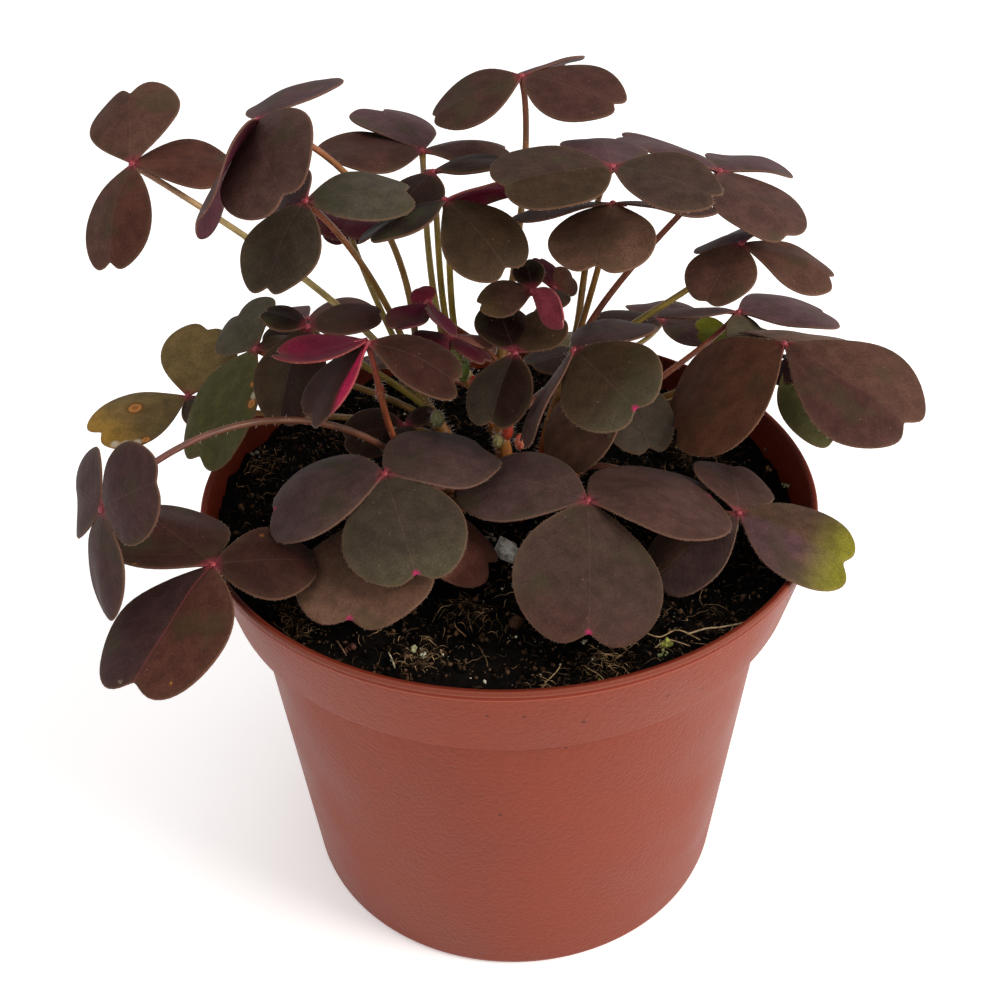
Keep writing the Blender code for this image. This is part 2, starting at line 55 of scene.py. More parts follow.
def addNode(tree, kind, settings=None, inputs=None):
    # settings are the node's own values, and each input is a number, a hex colour or a socket
    node = tree.nodes.new("ShaderNode" + kind)
    for key, value in (settings or {}).items():
        if key == "stops":
            ramp = node.color_ramp.elements
            while len(ramp) < len(value):
                ramp.new(0.5)
            for stop, (place, hexCode) in zip(ramp, value):
                stop.position = place
                stop.color = (*linear(hexCode), 1)
        else:
            setattr(node, key, value)
    for key, value in (inputs or {}).items():
        if isinstance(value, bpy.types.NodeSocket):
            tree.links.new(value, node.inputs[key])
        elif isinstance(value, str):
            node.inputs[key].default_value = (*linear(value), 1)
        else:
            node.inputs[key].default_value = value
    return node


def newMaterial(name, **sockets):
    # sockets are the constants of the Principled shader, with _ for a space
    material = bpy.data.materials.new(name)
    material.use_nodes = True
    tree = material.node_tree
    shader = tree.nodes["Principled BSDF"]
    for key, value in sockets.items():
        shader.inputs[key.replace("_", " ")].default_value = value
    return material, tree, shader


def named(tree, name):
    # the outputs of a mesh attribute
    return addNode(tree, "Attribute", {"attribute_name": name}).outputs


def objectPlace(tree):
    # Object coordinates, in metres
    return addNode(tree, "TexCoord").outputs["Object"]


def surfacePlace(tree):
    # a piece's own map: mm along a leaflet and across it, or along a stalk and round it
    return addNode(tree, "UVMap", {"uv_map": "surface"}).outputs[0]


def split(tree, vector):
    # the x, y and z of a vector
    return addNode(tree, "SeparateXYZ", inputs={0: vector}).outputs


def noise(tree, vector, scale, detail=2.0, roughness=0.5):
    # soft clouds from 0 to 1, about 1 / scale across
    return addNode(tree, "TexNoise", inputs={"Vector": vector, "Scale": scale, "Detail": detail,
                                             "Roughness": roughness}).outputs[0]


def dots(tree, vector, scale):
    # the distance to the nearest of random points that stand about 1 / scale apart
    return addNode(tree, "TexVoronoi", inputs={"Vector": vector, "Scale": scale}).outputs["Distance"]


def ranged(tree, value, low, high, atLow=0.0, atHigh=1.0, kind="LINEAR"):
    # from atLow at low to atHigh at high, and level beyond them
    return addNode(tree, "MapRange", {"interpolation_type": kind},
                   {0: value, 1: low, 2: high, 3: atLow, 4: atHigh}).outputs[0]


def eased(tree, value, low, high, atLow, atHigh):
    # the same with soft ends: 3 t^2 - 2 t^3 of the way
    return ranged(tree, value, low, high, atLow, atHigh, "SMOOTHSTEP")


def combined(tree, operation, first, second, third=0.0):
    # one step of arithmetic on numbers; MULTIPLY_ADD is first second + third
    return addNode(tree, "Math", {"operation": operation},
                   {0: first, 1: second, 2: third}).outputs[0]


def vectors(tree, operation, output=0, **inputs):
    # first and second are the node's two vectors, and Scale its number
    keys = {"first": 0, "second": 1, "Scale": "Scale"}
    return addNode(tree, "VectorMath", {"operation": operation},
                   {keys[key]: value for key, value in inputs.items()}).outputs[output]


def mixed(tree, mask, colour, other):
    # the colour where the mask is 0, the other one where it is 1
    return addNode(tree, "Mix", {"data_type": "RGBA"}, {0: mask, 6: colour, 7: other}).outputs[2]


def ramped(tree, value, stops):
    # the colour at a value, between stops of a value and a colour each
    return addNode(tree, "ValToRGB", {"stops": stops}, {0: value}).outputs[0]


def finishSkin(tree, shader, colour, height, strength, depth):
    # the colour, and a bump whose full height is depth metres
    tree.links.new(colour, shader.inputs["Base Color"])
    bump = addNode(tree, "Bump", inputs={"Strength": strength, "Distance": depth, "Height": height})
    tree.links.new(bump.outputs[0], shader.inputs["Normal"])


# Meshes
def makePiece(name, parts, materials):
    # joins parts, each a dictionary of arrays, into one mesh: points in mm, quads, triangles,
    # uv, tint (linear colour, then the midrib's strength), gaps (mm to the midrib, to the edge
    # and to the notch) and burns (distance to a burnt spot in its radii, to a pale one, 0)
    starts = np.cumsum([0] + [len(p["points"]) for p in parts])
    points = np.concatenate([p["points"] for p in parts]) * mm
    faces, slots = [], []
    for part, start in zip(parts, starts):
        for key in ("quads", "triangles"):
            if key in part:
                faces.append(part[key] + start)
                slots.append(np.full(len(part[key]), part.get("slot", 0)))
    corners = np.concatenate([f.ravel() for f in faces])
    sizes = np.concatenate([np.full(len(f), f.shape[1]) for f in faces])
    mesh = bpy.data.meshes.new(name)
    mesh.vertices.add(len(points))
    mesh.vertices.foreach_set("co", points.astype(np.float32).ravel())
    mesh.loops.add(len(corners))
    mesh.loops.foreach_set("vertex_index", corners.astype(np.int32))
    mesh.polygons.add(len(sizes))
    mesh.polygons.foreach_set("loop_start", (np.cumsum(sizes) - sizes).astype(np.int32))
    for material in materials:
        mesh.materials.append(material)
    mesh.polygons.foreach_set("material_index", np.concatenate(slots).astype(np.int32))
    mesh.update(calc_edges=True)
    mesh.shade_smooth()
    for key in ("tint", "gaps", "burns"):
        if key in parts[0]:
            values = [p.get(key, np.full((len(p["points"]), 3), farAway)) for p in parts]
            kind, field = "FLOAT_VECTOR", "vector"
            if key == "tint":
                kind, field = "FLOAT_COLOR", "color"
                values = [v if v.shape[1] == 4 else np.column_stack([v, np.zeros(len(v))])
                          for v in values]
            mesh.attributes.new(key, kind, "POINT").data.foreach_set(
                field, np.concatenate(values).astype(np.float32).ravel())
    if "uv" in parts[0]:
        uv = np.concatenate([p["uv"] for p in parts])[corners]
        mesh.uv_layers.new(name="surface").data.foreach_set("uv", uv.astype(np.float32).ravel())
    piece = bpy.data.objects.new(name, mesh)
    bpy.context.scene.collection.objects.link(piece)
    return piece


def gridQuads(rows, columns, closed=False):
    # quads of a grid of rows x columns points; closed joins the last column to the first
    i = np.arange(rows - 1)[:, None]
    j = np.arange(columns if closed else columns - 1)[None, :]
    k = (j + 1) % columns
    return np.stack([i * columns + j, (i + 1) * columns + j, (i + 1) * columns + k,
                     i * columns + k], -1).reshape(-1, 4)


def endFans(count, sides):
    # rings of sides points, count in all, closed by point count first and count + 1 last
    j = np.arange(sides)
    k = (j + 1) % sides
    return np.concatenate([np.column_stack([np.full(sides, count), j, k]),
                           np.column_stack([np.full(sides, count + 1),
                                            count - sides + k, count - sides + j])])


def ringsRound(radii, heights, sides):
    # (r cos a, r sin a, z) for each radius and its height
    a = fullTurn * np.arange(sides) / sides
    return np.stack([np.outer(radii, np.cos(a)), np.outer(radii, np.sin(a)),
                     np.outer(heights, np.ones(sides))], -1)


def unit(v):
    # each vector divided by its length
    return v / np.maximum(np.linalg.norm(v, axis=-1, keepdims=True), 1e-9)


def smooth(low, high, x):
    # 3 t^2 - 2 t^3, where t goes from 0 at low to 1 at high
    t = np.clip((x - low) / (high - low), 0, 1)
    return t * t * (3 - 2 * t)


def distances(path):
    # how far each point of a path is from its first, along it
    return np.concatenate([[0], np.cumsum(np.linalg.norm(np.diff(path, axis=0), axis=1))])


def throughPoints(points, count):
    # a smooth curve through points: each stretch is a cubic that passes each of its two ends in
    # the direction between that end's neighbours
    p = np.array(points, float)
    p = np.vstack([2 * p[0] - p[1], p, 2 * p[-1] - p[-2]])
    s = np.linspace(0, len(p) - 3 - 1e-9, count)
    k = s.astype(int)
    t = (s - k)[:, None]
    a, b, c, d = p[k], p[k + 1], p[k + 2], p[k + 3]
    return 0.5 * (2 * b + (c - a) * t + (2 * a - 5 * b + 4 * c - d) * t ** 2
                  + (3 * b - a - 3 * c + d) * t ** 3)


def frameAlong(path):
    # the direction at each point of a path, and two directions square to it
    along = unit(np.gradient(path, axis=0))
    steady = np.eye(3)[np.argmin(np.abs(unit(path[-1] - path[0])))]
    side = unit(np.cross(along, steady))
    return along, side, np.cross(along, side)


def tube(path, radii, sides, tint, slot=0):
    # ring i: path[i] + radii[i] (cos a side + sin a up), closed by a point at each end
    along, side, up = frameAlong(path)
    a = fullTurn * np.arange(sides) / sides
    ring = (np.cos(a)[None, :, None] * side[:, None] + np.sin(a)[None, :, None] * up[:, None])
    shell = path[:, None] + ring * radii[:, None, None]
    first = path[0] - along[0] * radii[0] * 0.5
    last = path[-1] + along[-1] * radii[-1] * 0.5
    count = len(path) * sides
    length = distances(path)
    turn = np.arange(sides) / sides
    uv = np.stack(np.broadcast_arrays(length[:, None], turn[None, :]), -1).reshape(-1, 2)
    return {"points": np.vstack([shell.reshape(-1, 3), first, last]),
            "quads": gridQuads(len(path), sides, closed=True)[:, ::-1],
            "triangles": endFans(count, sides),
            "uv": np.vstack([uv, [0, 0], [length[-1], 0]]),
            "tint": np.vstack([np.repeat(tint, sides, axis=0), tint[0], tint[-1]]),
            "slot": slot}


def ball(centre, radii, tint, slot=0, rings=8, sides=12):
    # a squashed sphere: centre + radii (sin b cos a, sin b sin a, cos b), closed at its poles
    b = math.pi * (np.arange(rings) + 0.5) / rings
    shell = ringsRound(np.sin(b), np.cos(b), sides).reshape(-1, 3)
    points = np.vstack([shell, [0, 0, 1], [0, 0, -1]]) * radii + centre
    return {"points": points, "quads": gridQuads(rings, sides, closed=True),
            "triangles": endFans(len(shell), sides), "uv": points[:, :2],
            "tint": np.tile(tint, (len(points), 1)), "slot": slot}


# Leaf materials
def bladeSkin():
    # Sorrel leaf: a waxy skin over dark pigment, hidden under fine short hairs, so it hardly
    # shines. The midrib is a faint line, red on some leaflets, and the edge a thin tan one.
    material, tree, shader = newMaterial("sorrelBlade", Roughness=0.55, IOR=1.4,
                                         Specular_IOR_Level=0.08)
    tint = named(tree, "tint")
    rib, edge, notch = split(tree, named(tree, "gaps")["Vector"])
    burn, pale = split(tree, named(tree, "burns")["Vector"])[:2]
    along = split(tree, surfacePlace(tree))[0]
    place = objectPlace(tree)
    # clouds of pigment 8 mm and 2.5 mm across, and a grain of hairs 0.3 mm apart
    broad = noise(tree, place, 130)
    clouds = noise(tree, place, 400, 4, 0.6)
    grain = noise(tree, place, 3300)
    shade = combined(tree, "MULTIPLY", eased(tree, clouds, 0.3, 0.7, 0.8, 1.2),
                     eased(tree, grain, 0.3, 0.7, 0.85, 1.17))
    colour = vectors(tree, "SCALE", first=tint["Color"], Scale=shade)
    # side veins every 2.2 mm, leaning forward from the midrib
    lean = combined(tree, "MULTIPLY_ADD", rib, -0.9, along)
    vein = combined(tree, "PINGPONG", combined(tree, "MULTIPLY_ADD", clouds, 3.2, lean), 1.1)
    veinLine = eased(tree, vein, 0.0, 0.22, 1.0, 0.0)
    ribLine = eased(tree, rib, 0.03, 0.22, 1.0, 0.0)
    ribFade = combined(tree, "MULTIPLY", ribLine, eased(tree, along, 0.0, 22.0, 1.0, 0.35))
    specks = dots(tree, place, 420)
    masks = [
        (eased(tree, broad, 0.52, 0.72, 0.0, 0.45), "#35351f"),
        (combined(tree, "MULTIPLY", veinLine, 0.045), "#6a4c48"),
        (combined(tree, "MULTIPLY", ribLine, 0.08), "#7a5a52"),
        (eased(tree, specks, 0.03, 0.07, 0.35, 0.0), "#8a7060"),
        (eased(tree, edge, 0.0, 1.5, 0.12, 0.0), "#5a4a34"),
        (eased(tree, edge, 0.02, 0.17, 0.26, 0.0), "#7c5844"),
        (combined(tree, "MULTIPLY", ribFade, tint["Alpha"]), "#8a343a"),
        (eased(tree, along, 0.3, 1.7, 0.5, 0.0), "#86273c"),
        (eased(tree, notch, 0.15, 0.85, 0.85, 0.0), "#9c2250"),
        (eased(tree, burn, 0.9, 1.6, 0.85, 0.0), "#5e3c18"),
        (eased(tree, burn, 0.7, 1.0, 0.95, 0.0), "#a8703a"),
        (eased(tree, burn, 0.3, 0.7, 0.9, 0.0), "#7e4c26"),
        (eased(tree, pale, 0.5, 1.1, 0.8, 0.0), "#a89c86"),
    ]
    for mask, hexCode in masks:
        colour = mixed(tree, mask, colour, hexCode)
    relief = combined(tree, "MULTIPLY_ADD", veinLine, -0.9, grain)
    relief = combined(tree, "MULTIPLY_ADD", ribLine, -1.2, relief)
    finishSkin(tree, shader, colour, relief, 0.4, 0.00008)
    return material


def stalkSkin():
    # Fleshy stalk: smooth, thin-skinned and watery, so it is glossier than the leaf, with fine
    # lengthwise streaks every 0.3 mm.
    material, tree, shader = newMaterial("fleshyStalk", Roughness=0.42, IOR=1.4,
                                         Subsurface_Weight=0.12, Subsurface_Scale=0.0006)
    blotch = noise(tree, objectPlace(tree), 330, 3)
    stretched = addNode(tree, "Mapping", inputs={"Vector": surfacePlace(tree),
                                                 "Scale": (0.25, 12, 1)}).outputs[0]
    streak = noise(tree, stretched, 1.0)
    shade = ranged(tree, combined(tree, "ADD", blotch, streak), 0.7, 1.3, 0.6, 1.35)
    colour = vectors(tree, "SCALE", first=named(tree, "tint")["Color"], Scale=shade)
    finishSkin(tree, shader, colour, streak, 0.3, 0.00008)
    return material


def plantHair():
    # Dead, air-filled hair: pale and dry, kept as a plain soft white with browner stretches
    material, tree, shader = newMaterial("paleHair", Roughness=0.5, IOR=1.4)
    colour = ramped(tree, noise(tree, objectPlace(tree), 400), [(0.35, "#b89a86"), (0.65, "#efe4d6")])
    tree.links.new(colour, shader.inputs["Base Color"])
    return material


blade = bladeSkin()
stalk = stalkSkin()

# The plant's tables
# what a leaflet's colours are called, as they look in soft light
leafColours = {
    "umber": "#4c3229", "redBrown": "#4b2b22", "chestnut": "#402722", "bark": "#352619",
    "cocoa": "#3a2a24", "warmBrown": "#4a352a", "plum": "#4b3335", "plumBrown": "#48312c",
    "duskyPlum": "#3c2725", "mauve": "#463330", "slate": "#362d24", "greyGreen": "#413b30",
    "night": "#24150f", "leafGreen": "#434022", "mossGreen": "#443d2e", "olive": "#5a482b",
    "khaki": "#665331", "lime": "#74701c", "gold": "#8a6826", "brightGreen": "#5f600c",
    "crimson": "#800e2c", "deepCrimson": "#6c1428", "magenta": "#5e1630", "rose": "#d05e6a",
    "wine": "#400f1b", "sepia": "#5e4335", "rust": "#74463a", "russet": "#573526",
    "cinder": "#331c17", "ink": "#190c08",
}
stalkColours = {
    "straw": ("#a8925a", "#a87a60"), "orange": ("#7e5c2a", "#8e4e36"),
    "olive": ("#86722f", "#866436"), "pink": ("#94604e", "#9c5048"),
    "red": ("#84452a", "#843a30"), "brown": ("#5e3826", "#6a3a36"),
}
# stems: points from the foot in the soil to the tip
stems = {
    "stem_left": [(-8, 6, 65.5), (-8, 6, 79), (-12, 7, 88), (-17, 8, 97)],
    "stem_back": [(-1, 13, 65.5), (-1, 13, 79), (-5, 13, 90), (-11, 13, 102)],
    "stem_right": [(7, 10, 65.5), (7, 10, 79), (9, 11, 89), (12, 12, 99)],
    "stem_right_low": [(11, 1, 65.5), (11, 1, 79), (14, 3, 84), (18, 6, 88)],
    "stem_front": [(2, -5, 65.5), (2, -5, 79), (1, -6, 83), (0, -8, 87)],
    "stem_front_left": [(-9, -4, 65.5), (-9, -4, 79), (-12, -4, 82), (-16, -4, 85)],
    "stem_centre": [(0, 3, 65.5), (0, 3, 79), (-1, 4, 90), (-1, 4, 101)],
}
# leaves: stem, share along it, stalk's bow, hub, stalk's colour, then three leaflets: heading,
# rise and roll in degrees, length, breadth, colours as left|right>tip, kind and fold, where
# these aren't plain and 0.05
leaves = {
    "leaf_top_left": ("stem_left", 0.95, (1, 0, 3), (-55.5, 5, 136.5), "straw", [
        (96, 25, -17, 16.5, 0.95, "umber", "heart", 0.16),
        (-108, -47, 19, 17, 0.83, "redBrown|umber"),
        (14, -8, 9, 15, 0.91, "redBrown", "wedge")]),
    "leaf_upper_left": ("stem_left", 0.9, (9, 8, 3), (-34.5, -3, 145.5), "orange", [
        (62, 2, -18, 16.5, 0.94, "plum"),
        (-115, -29, 59, 19.5, 0.86, "plum", "oval", 0.1),
        (-73, -15, 41, 19, 0.89, "plumBrown", "plain", -0.05)]),
    "leaf_grey_left": ("stem_left", 0.8, (3, 4, 0), (-28.5, -6, 134.5), "orange", [
        (11, -2, 10, 15.5, 0.87, "greyGreen", "plain", 0.08),
        (-118, -37, -1, 15.5, 0.79, "slate", "plain", 0.0),
        (120, -10, -45, 10, 0.9, "plum", "plain", 0.1)]),
    "leaf_mid_left": ("stem_back", 0.95, (0, 0, 0), (-12.5, 19, 132), "olive", [
        (-163, 6, -5, 16.5, 0.87, "chestnut", "oval"),
        (121, 9, 14, 16.5, 0.94, "plum", "heart"),
        (16, -5, 0, 14.5, 0.81, "chestnut|plumBrown", "wedge", 0.25)]),
    "leaf_mid_left_low": ("stem_back", 0.85, (0, 0, 0), (-10.5, 6.5, 133.5), "olive", [
        (-120, -20, 0, 11, 0.9, "night", "oval", 0.1),
        (5, 5, -5, 12, 0.8, "night", "wedge", 0.1),
        (80, -20, 0, 5, 0.9, "plum", "plain", 0.1)]),
    "leaf_mid_front": ("stem_back", 0.75, (0, 0, 0), (-8.5, -2, 132.5), "olive", [
        (-40, -35, 17, 15, 0.91, "bark", "wedge"),
        (-140, -9, 15, 15, 0.8, "ink", "wedge", 0.1),
        (25, -5, -40, 12, 0.8, "deepCrimson", "wedge", 0.1)]),
    "leaf_top": ("stem_centre", 1.0, (2, 3, 0), (3.5, 15, 145), "orange", [
        (-175, -23, -13, 15, 0.87, "chestnut", "oval"),
        (-28, -9, 13, 16.5, 0.87, "chestnut", "plain", 0.08),
        (57, -8, -22, 15, 0.73, "plum", "wedge")]),
    "leaf_upper_right": ("stem_right", 1.0, (0, 11, 2), (16, -3.5, 137.5), "orange", [
        (-156, 0, -12, 18, 0.93, "bark|cocoa", "oval", 0.0),
        (-25, -9, 8, 16.5, 0.87, "cocoa", "plain", 0.0),
        (93, -6, 6, 15.5, 0.89, "plum", "wedge")]),
    "leaf_far_right": ("stem_right", 0.95, (0, 4, 0), (34.5, 12.5, 130), "red", [
        (53, -13, 2, 17.5, 0.87, "plum", "wedge"),
        (-56, -19, -8, 17, 0.98, "plumBrown", "oval"),
        (153, 11, 14, 17.5, 0.8, "plum")]),
    "leaf_mid_right": ("stem_right", 0.9, (0, 0, 0), (17, 4.5, 128.5), "orange", [
        (-104, -15, 2, 16.5, 0.97, "sepia", "plain", 0.0),
        (-175, -5, 20, 16, 0.85, "duskyPlum", "wedge", 0.1),
        (-5, -5, -20, 16, 0.85, "duskyPlum", "wedge", 0.1)]),
    "leaf_right_small": ("stem_right", 0.8, (0, 0, 0), (37.5, 5, 121), "olive", [
        (-128, -30, -4, 12, 0.93, "umber", "oval", 0.0),
        (-14, -20, 2, 16, 0.85, "umber", "wedge", 0.08),
        (100, -20, -15, 12, 0.95, "plum")]),
    "leaf_big_right": ("stem_right_low", 0.95, (2, 4, -2), (45, 0.5, 105.5), "orange", [
        (-173, -43, -8, 24, 0.96, "russet", "plain", 0.0),
        (-36, -21, 10, 24.5, 0.96, "umber|chestnut", "wedge"),
        (69, -24, -3, 20.5, 0.94, "sepia", "wedge")]),
    "leaf_behind_right": ("stem_right_low", 1.0, (0, 0, 0), (41.5, 22, 100), "red", [
        (19, -12, -3, 19.5, 0.92, "plum"),
        (170, -5, 18, 14.5, 0.81, "duskyPlum", "wedge", 0.1),
        (-80, -30, -10, 9, 0.85, "mossGreen")]),
    "leaf_under_right": ("stem_right_low", 0.9, (0, 3, -2), (49.5, 14, 95), "brown", [
        (-105, -15, 25, 6.5, 0.9, "plum"),
        (-66, -30, -5, 18, 0.9, "leafGreen", "wedge"),
        (70, -25, -10, 7, 0.9, "plum")]),
    "leaf_centre_right": ("stem_centre", 0.6, (3, 6, -2), (10.5, -8, 110), "pink", [
        (-57, -11, 29, 17, 0.97, "bark>mossGreen dot", "plain", 0.0),
        (-150, -55, 35, 17, 0.8, "plumBrown", "plain", 0.1),
        (45, -5, -15, 16, 0.9, "duskyPlum", "wedge")]),
    "leaf_centre": ("stem_centre", 0.8, (0, 0, 0), (1.5, -4, 107.5), "red", [
        (-114, -37, 11, 13, 0.9, "night|slate", "plain", 0.0),
        (110, 25, 0, 10, 0.9, "ink", "plain", 0.1),
        (40, 20, 5, 10, 0.9, "bark", "plain", 0.1)]),
    "leaf_young_pink": ("stem_centre", 1.0, (0, 5, 0), (4.5, 1.5, 115.5), "pink", [
        (-170, -10, -20, 9, 0.8, "umber>olive", "plain", 0.1),
        (-50, -20, -90, 8, 0.8, "rose", "plain", 0.1),
        (100, 30, 0, 6, 0.85, "ink", "plain", 0.1)]),
    "leaf_young_back": ("stem_centre", 0.95, (0, 0, 0), (8.5, 14, 109.5), "pink", [
        (115, 30, 20, 6.5, 0.85, "wine", "plain", 0.1),
        (55, -5, 45, 6.5, 0.85, "russet", "plain", 0.1),
        (-90, -5, 0, 6, 0.85, "warmBrown", "plain", 0.1)]),
    "leaf_young_crimson": ("stem_centre", 0.95, (0, 0, 0), (-8.5, -1, 109), "red", [
        (-135, 12, -20, 7.5, 0.8, "wine", "plain", 0.2),
        (-45, -10, -15, 8, 0.7, "wine", "plain", 0.2),
        (15, -15, -5, 7, 0.75, "rust", "plain", 0.2)]),
    "leaf_young_purple": ("stem_centre", 0.98, (0, 0, 0), (-12, 1, 114), "red", [
        (-125, -5, 175, 9, 0.7, "magenta", "wedge", 0.2),
        (-65, -15, 140, 8, 0.7, "magenta", "wedge", 0.2),
        (110, 5, -20, 5, 0.85, "deepCrimson", "plain", 0.2)]),
    "leaf_left_dark": ("stem_left", 0.75, (0, 0, 0), (-31, -1, 111.5), "olive", [
        (168, 16, -3, 7.5, 0.92, "ink", "plain", 0.1),
        (9, 4, 3, 11.5, 0.83, "chestnut", "oval"),
        (-117, -47, 12, 16, 0.93, "night|bark", "oval", 0.0)]),
    "leaf_crimson": ("stem_front_left", 0.95, (0, 0, 0), (-20.5, -14, 115.5), "red", [
        (-176, -5, -171, 14, 0.8, "crimson", "plain", 0.1),
        (-150, -43, 10, 15, 0.88, "cinder hem", "wedge", 0.0),
        (-1, -28, 12, 15.5, 0.85, "cinder", "wedge")]),
    "leaf_left_green": ("stem_left", 0.65, (0, 0, 0), (-41.5, 7.5, 103), "orange", [
        (-133, -46, 9, 22, 0.82, "leafGreen"),
        (110, -1, -36, 15, 0.91, "mossGreen", "heart"),
        (20, 0, 0, 7, 0.85, "bark")]),
    "leaf_left_olive": ("stem_left", 0.55, (0, 0, 0), (-55.5, 12, 91.5), "orange", [
        (79, 26, 7, 15, 0.91, "khaki", "plain", 0.0),
        (-142, -3, -3, 18, 0.85, "olive|khaki>gold", "wedge"),
        (-45, -16, 0, 10, 0.85, "slate")]),
    "leaf_far_left": ("stem_front_left", 0.9, (0, 0, 15), (-59, -31.5, 99), "brown", [
        (-31, 35, 61, 15.5, 0.94, "duskyPlum", "oval", 0.0),
        (120, -16, -64, 16, 0.91, "duskyPlum", "heart", 0.1),
        (-94, -64, 49, 16.5, 0.78, "duskyPlum", "oval", 0.1)]),
    "leaf_front_left_low": ("stem_front_left", 0.8, (0, 0, 0), (-45, -30, 87), "orange", [
        (139, 2, 11, 20, 1.07, "cinder", "oval", 0.1),
        (9, -8, 9, 15.5, 0.92, "cinder", "oval"),
        (-115, -18, 13, 23.5, 0.99, "redBrown|duskyPlum rib")]),
    "leaf_front_left": ("stem_front", 0.95, (0, -1, -2), (-19, -20, 96), "pink", [
        (176, -22, -3, 20.5, 1.01, "mauve dot", "oval", 0.1),
        (37, -9, -1, 19.5, 1.01, "mauve", "oval"),
        (-72, -25, 9, 19.5, 0.97, "slate>mossGreen dot")]),
    "leaf_front_under": ("stem_front", 0.75, (0, 0, 0), (-18.5, -17.5, 87.5), "red", [
        (-107, -18, 3, 22.5, 1.02, "sepia dot", "wedge", 0.0),
        (-18, -28, 0, 19, 0.8, "rust", "wedge", 0.1),
        (-175, 15, 5, 12, 0.85, "bark")]),
    "leaf_front": ("stem_front", 0.9, (0, 0, 0), (12, -22, 91.5), "red", [
        (153, -5, -1, 21.5, 0.88, "mauve"),
        (22, -14, -5, 23.5, 1.13, "plumBrown dot", "oval", 0.1),
        (-94, -28, -18, 24.5, 0.95, "cocoa>chestnut dot", "plain", 0.0)]),
    "leaf_right_front": ("stem_right_low", 0.6, (0, 0, 0), (36.5, -17.5, 85), "pink", [
        (-26, -15, 6, 19.5, 0.92, "warmBrown|plum>lime", "plain", 0.08),
        (86, -2, 19, 14.5, 1.01, "plumBrown", "wedge"),
        (-149, -23, 8, 18, 0.89, "mauve|warmBrown", "wedge")]),
    "leaf_under_centre": ("stem_right_low", 0.75, (0, 0, 0), (19, 6, 97), "red", [
        (-145, -45, 5, 19, 0.85, "sepia", "oval", 0.0),
        (-66, -37, 0, 15, 0.84, "slate", "plain", 0.0),
        (65, 5, -10, 9, 0.85, "duskyPlum")]),
    "leaf_back_left": ("stem_left", 0.7, (0, 0, 0), (-27, 28, 117), "olive", [
        (-120, 10, -25, 9, 0.85, "wine", "oval", 0.1),
        (-45, 5, 10, 10, 0.85, "wine", "oval", 0.1),
        (100, -55, 5, 9, 0.9, "redBrown", "plain", 0.1)]),
    "leaf_low_dark": ("stem_front_left", 0.7, (0, 0, 0), (-17, 0, 92), "red", [
        (-175, -10, -30, 10.5, 0.9, "night", "oval", 0.1),
        (30, 10, 0, 6, 0.85, "night", "plain", 0.1),
        (-85, 5, 0, 5, 0.85, "night", "plain", 0.1)]),
    "leaf_bright_green": ("stem_right_low", 0.85, (1, -1, -2), (43.5, 30, 90), "olive", [
        (-165, 20, -25, 9, 0.9, "brightGreen"),
        (40, -5, 0, 8, 0.85, "leafGreen"),
        (-80, -20, 15, 6, 0.85, "leafGreen")]),
    "leaf_back_low_left": ("stem_back", 0.6, (2, 0, -1), (-14, 32, 86), "red", [
        (150, -10, 5, 16, 0.9, "umber", "heart"),
        (35, -5, -5, 15, 0.85, "redBrown"),
        (-95, 5, 0, 12, 0.85, "night")]),
    "leaf_back_low_right": ("stem_right", 0.6, (0, 0, 0), (16, 35, 85), "orange", [
        (95, -15, 5, 17, 0.9, "olive"),
        (-30, 0, 5, 13, 0.85, "slate", "heart"),
        (-150, 5, 0, 13, 0.85, "night", "oval")]),
    "leaf_back_far_left": ("stem_back", 0.7, (0, 0, 0), (-36, 31, 96), "orange", [
        (140, -15, 5, 16, 0.9, "plum", "heart"),
        (20, -5, 0, 14, 0.85, "plumBrown"),
        (-110, -5, -5, 12, 0.85, "night")]),
    "leaf_back_right": ("stem_right", 0.7, (0, 0, 0), (31, 42, 88), "olive", [
        (85, -15, 0, 16, 0.9, "duskyPlum"),
        (-40, 0, 5, 12, 0.85, "duskyPlum", "oval"),
        (-160, 5, 0, 14, 0.85, "night")]),
}

# Leaves
bladeForm = {
    "rows": 20, "columns": 52, "fanEdge": 65.0, "notchWidth": 6.3, "longestReach": 0.978,
    "arch": 0.06, "cup": 0.12, "spread": 5.5, "shoulder": 11.0, "side": 0.36,
    "baseThickness": 0.6, "edgeThickness": 0.34, "wave": 0.012, "waveStarts": 6.28,
    "underside": "#4a1426", "rim": "#6e4a3a", "hub": "#8a3038", "hem": "#a41f46",
    "undersideShare": 0.7, "rimShare": 0.15, "ribStrength": 0.6,
    # hairs of the edge: how many, how much they stray and how long they are
    "hairsPerMillimetre": 2.2, "hairStray": 0.5, "hairLength": (0.1, 0.32), "hairRadius": 0.013,
}
# kinds of leaflet: the notch's depth as a share of the length, and the opening to each side
outlines = {"plain": (0.10, 52.0), "oval": (0.06, 54.0), "heart": (0.20, 45.0),
            "wedge": (0.10, 45.0)}
# burnt and pale spots: leaf and leaflet, then places along and across it and radii in mm
burnt = {("leaf_left_olive", 1): [(9.3, -1.0, 1.3), (11.6, 6.9, 0.8)],
         ("leaf_left_green", 0): [(8.4, 6.9, 0.9), (5.6, 4.6, 0.5)],
         ("leaf_front_left_low", 0): [(7.0, 8.9, 0.35)],
         ("leaf_front_left_low", 1): [(7.4, 5.2, 0.35)],
         ("leaf_front_left_low", 2): [(20.6, 6.0, 0.4)]}
paleSpots = {("leaf_left_olive", 1): [(13.0, 6.4, 1.0), (14.6, 5.4, 1.0), (16.0, 4.2, 0.9)],
             ("leaf_left_green", 0): [(7.0, 6.4, 0.9)],
             ("leaf_front_left_low", 2): [(22.1, -2.5, 0.6)]}


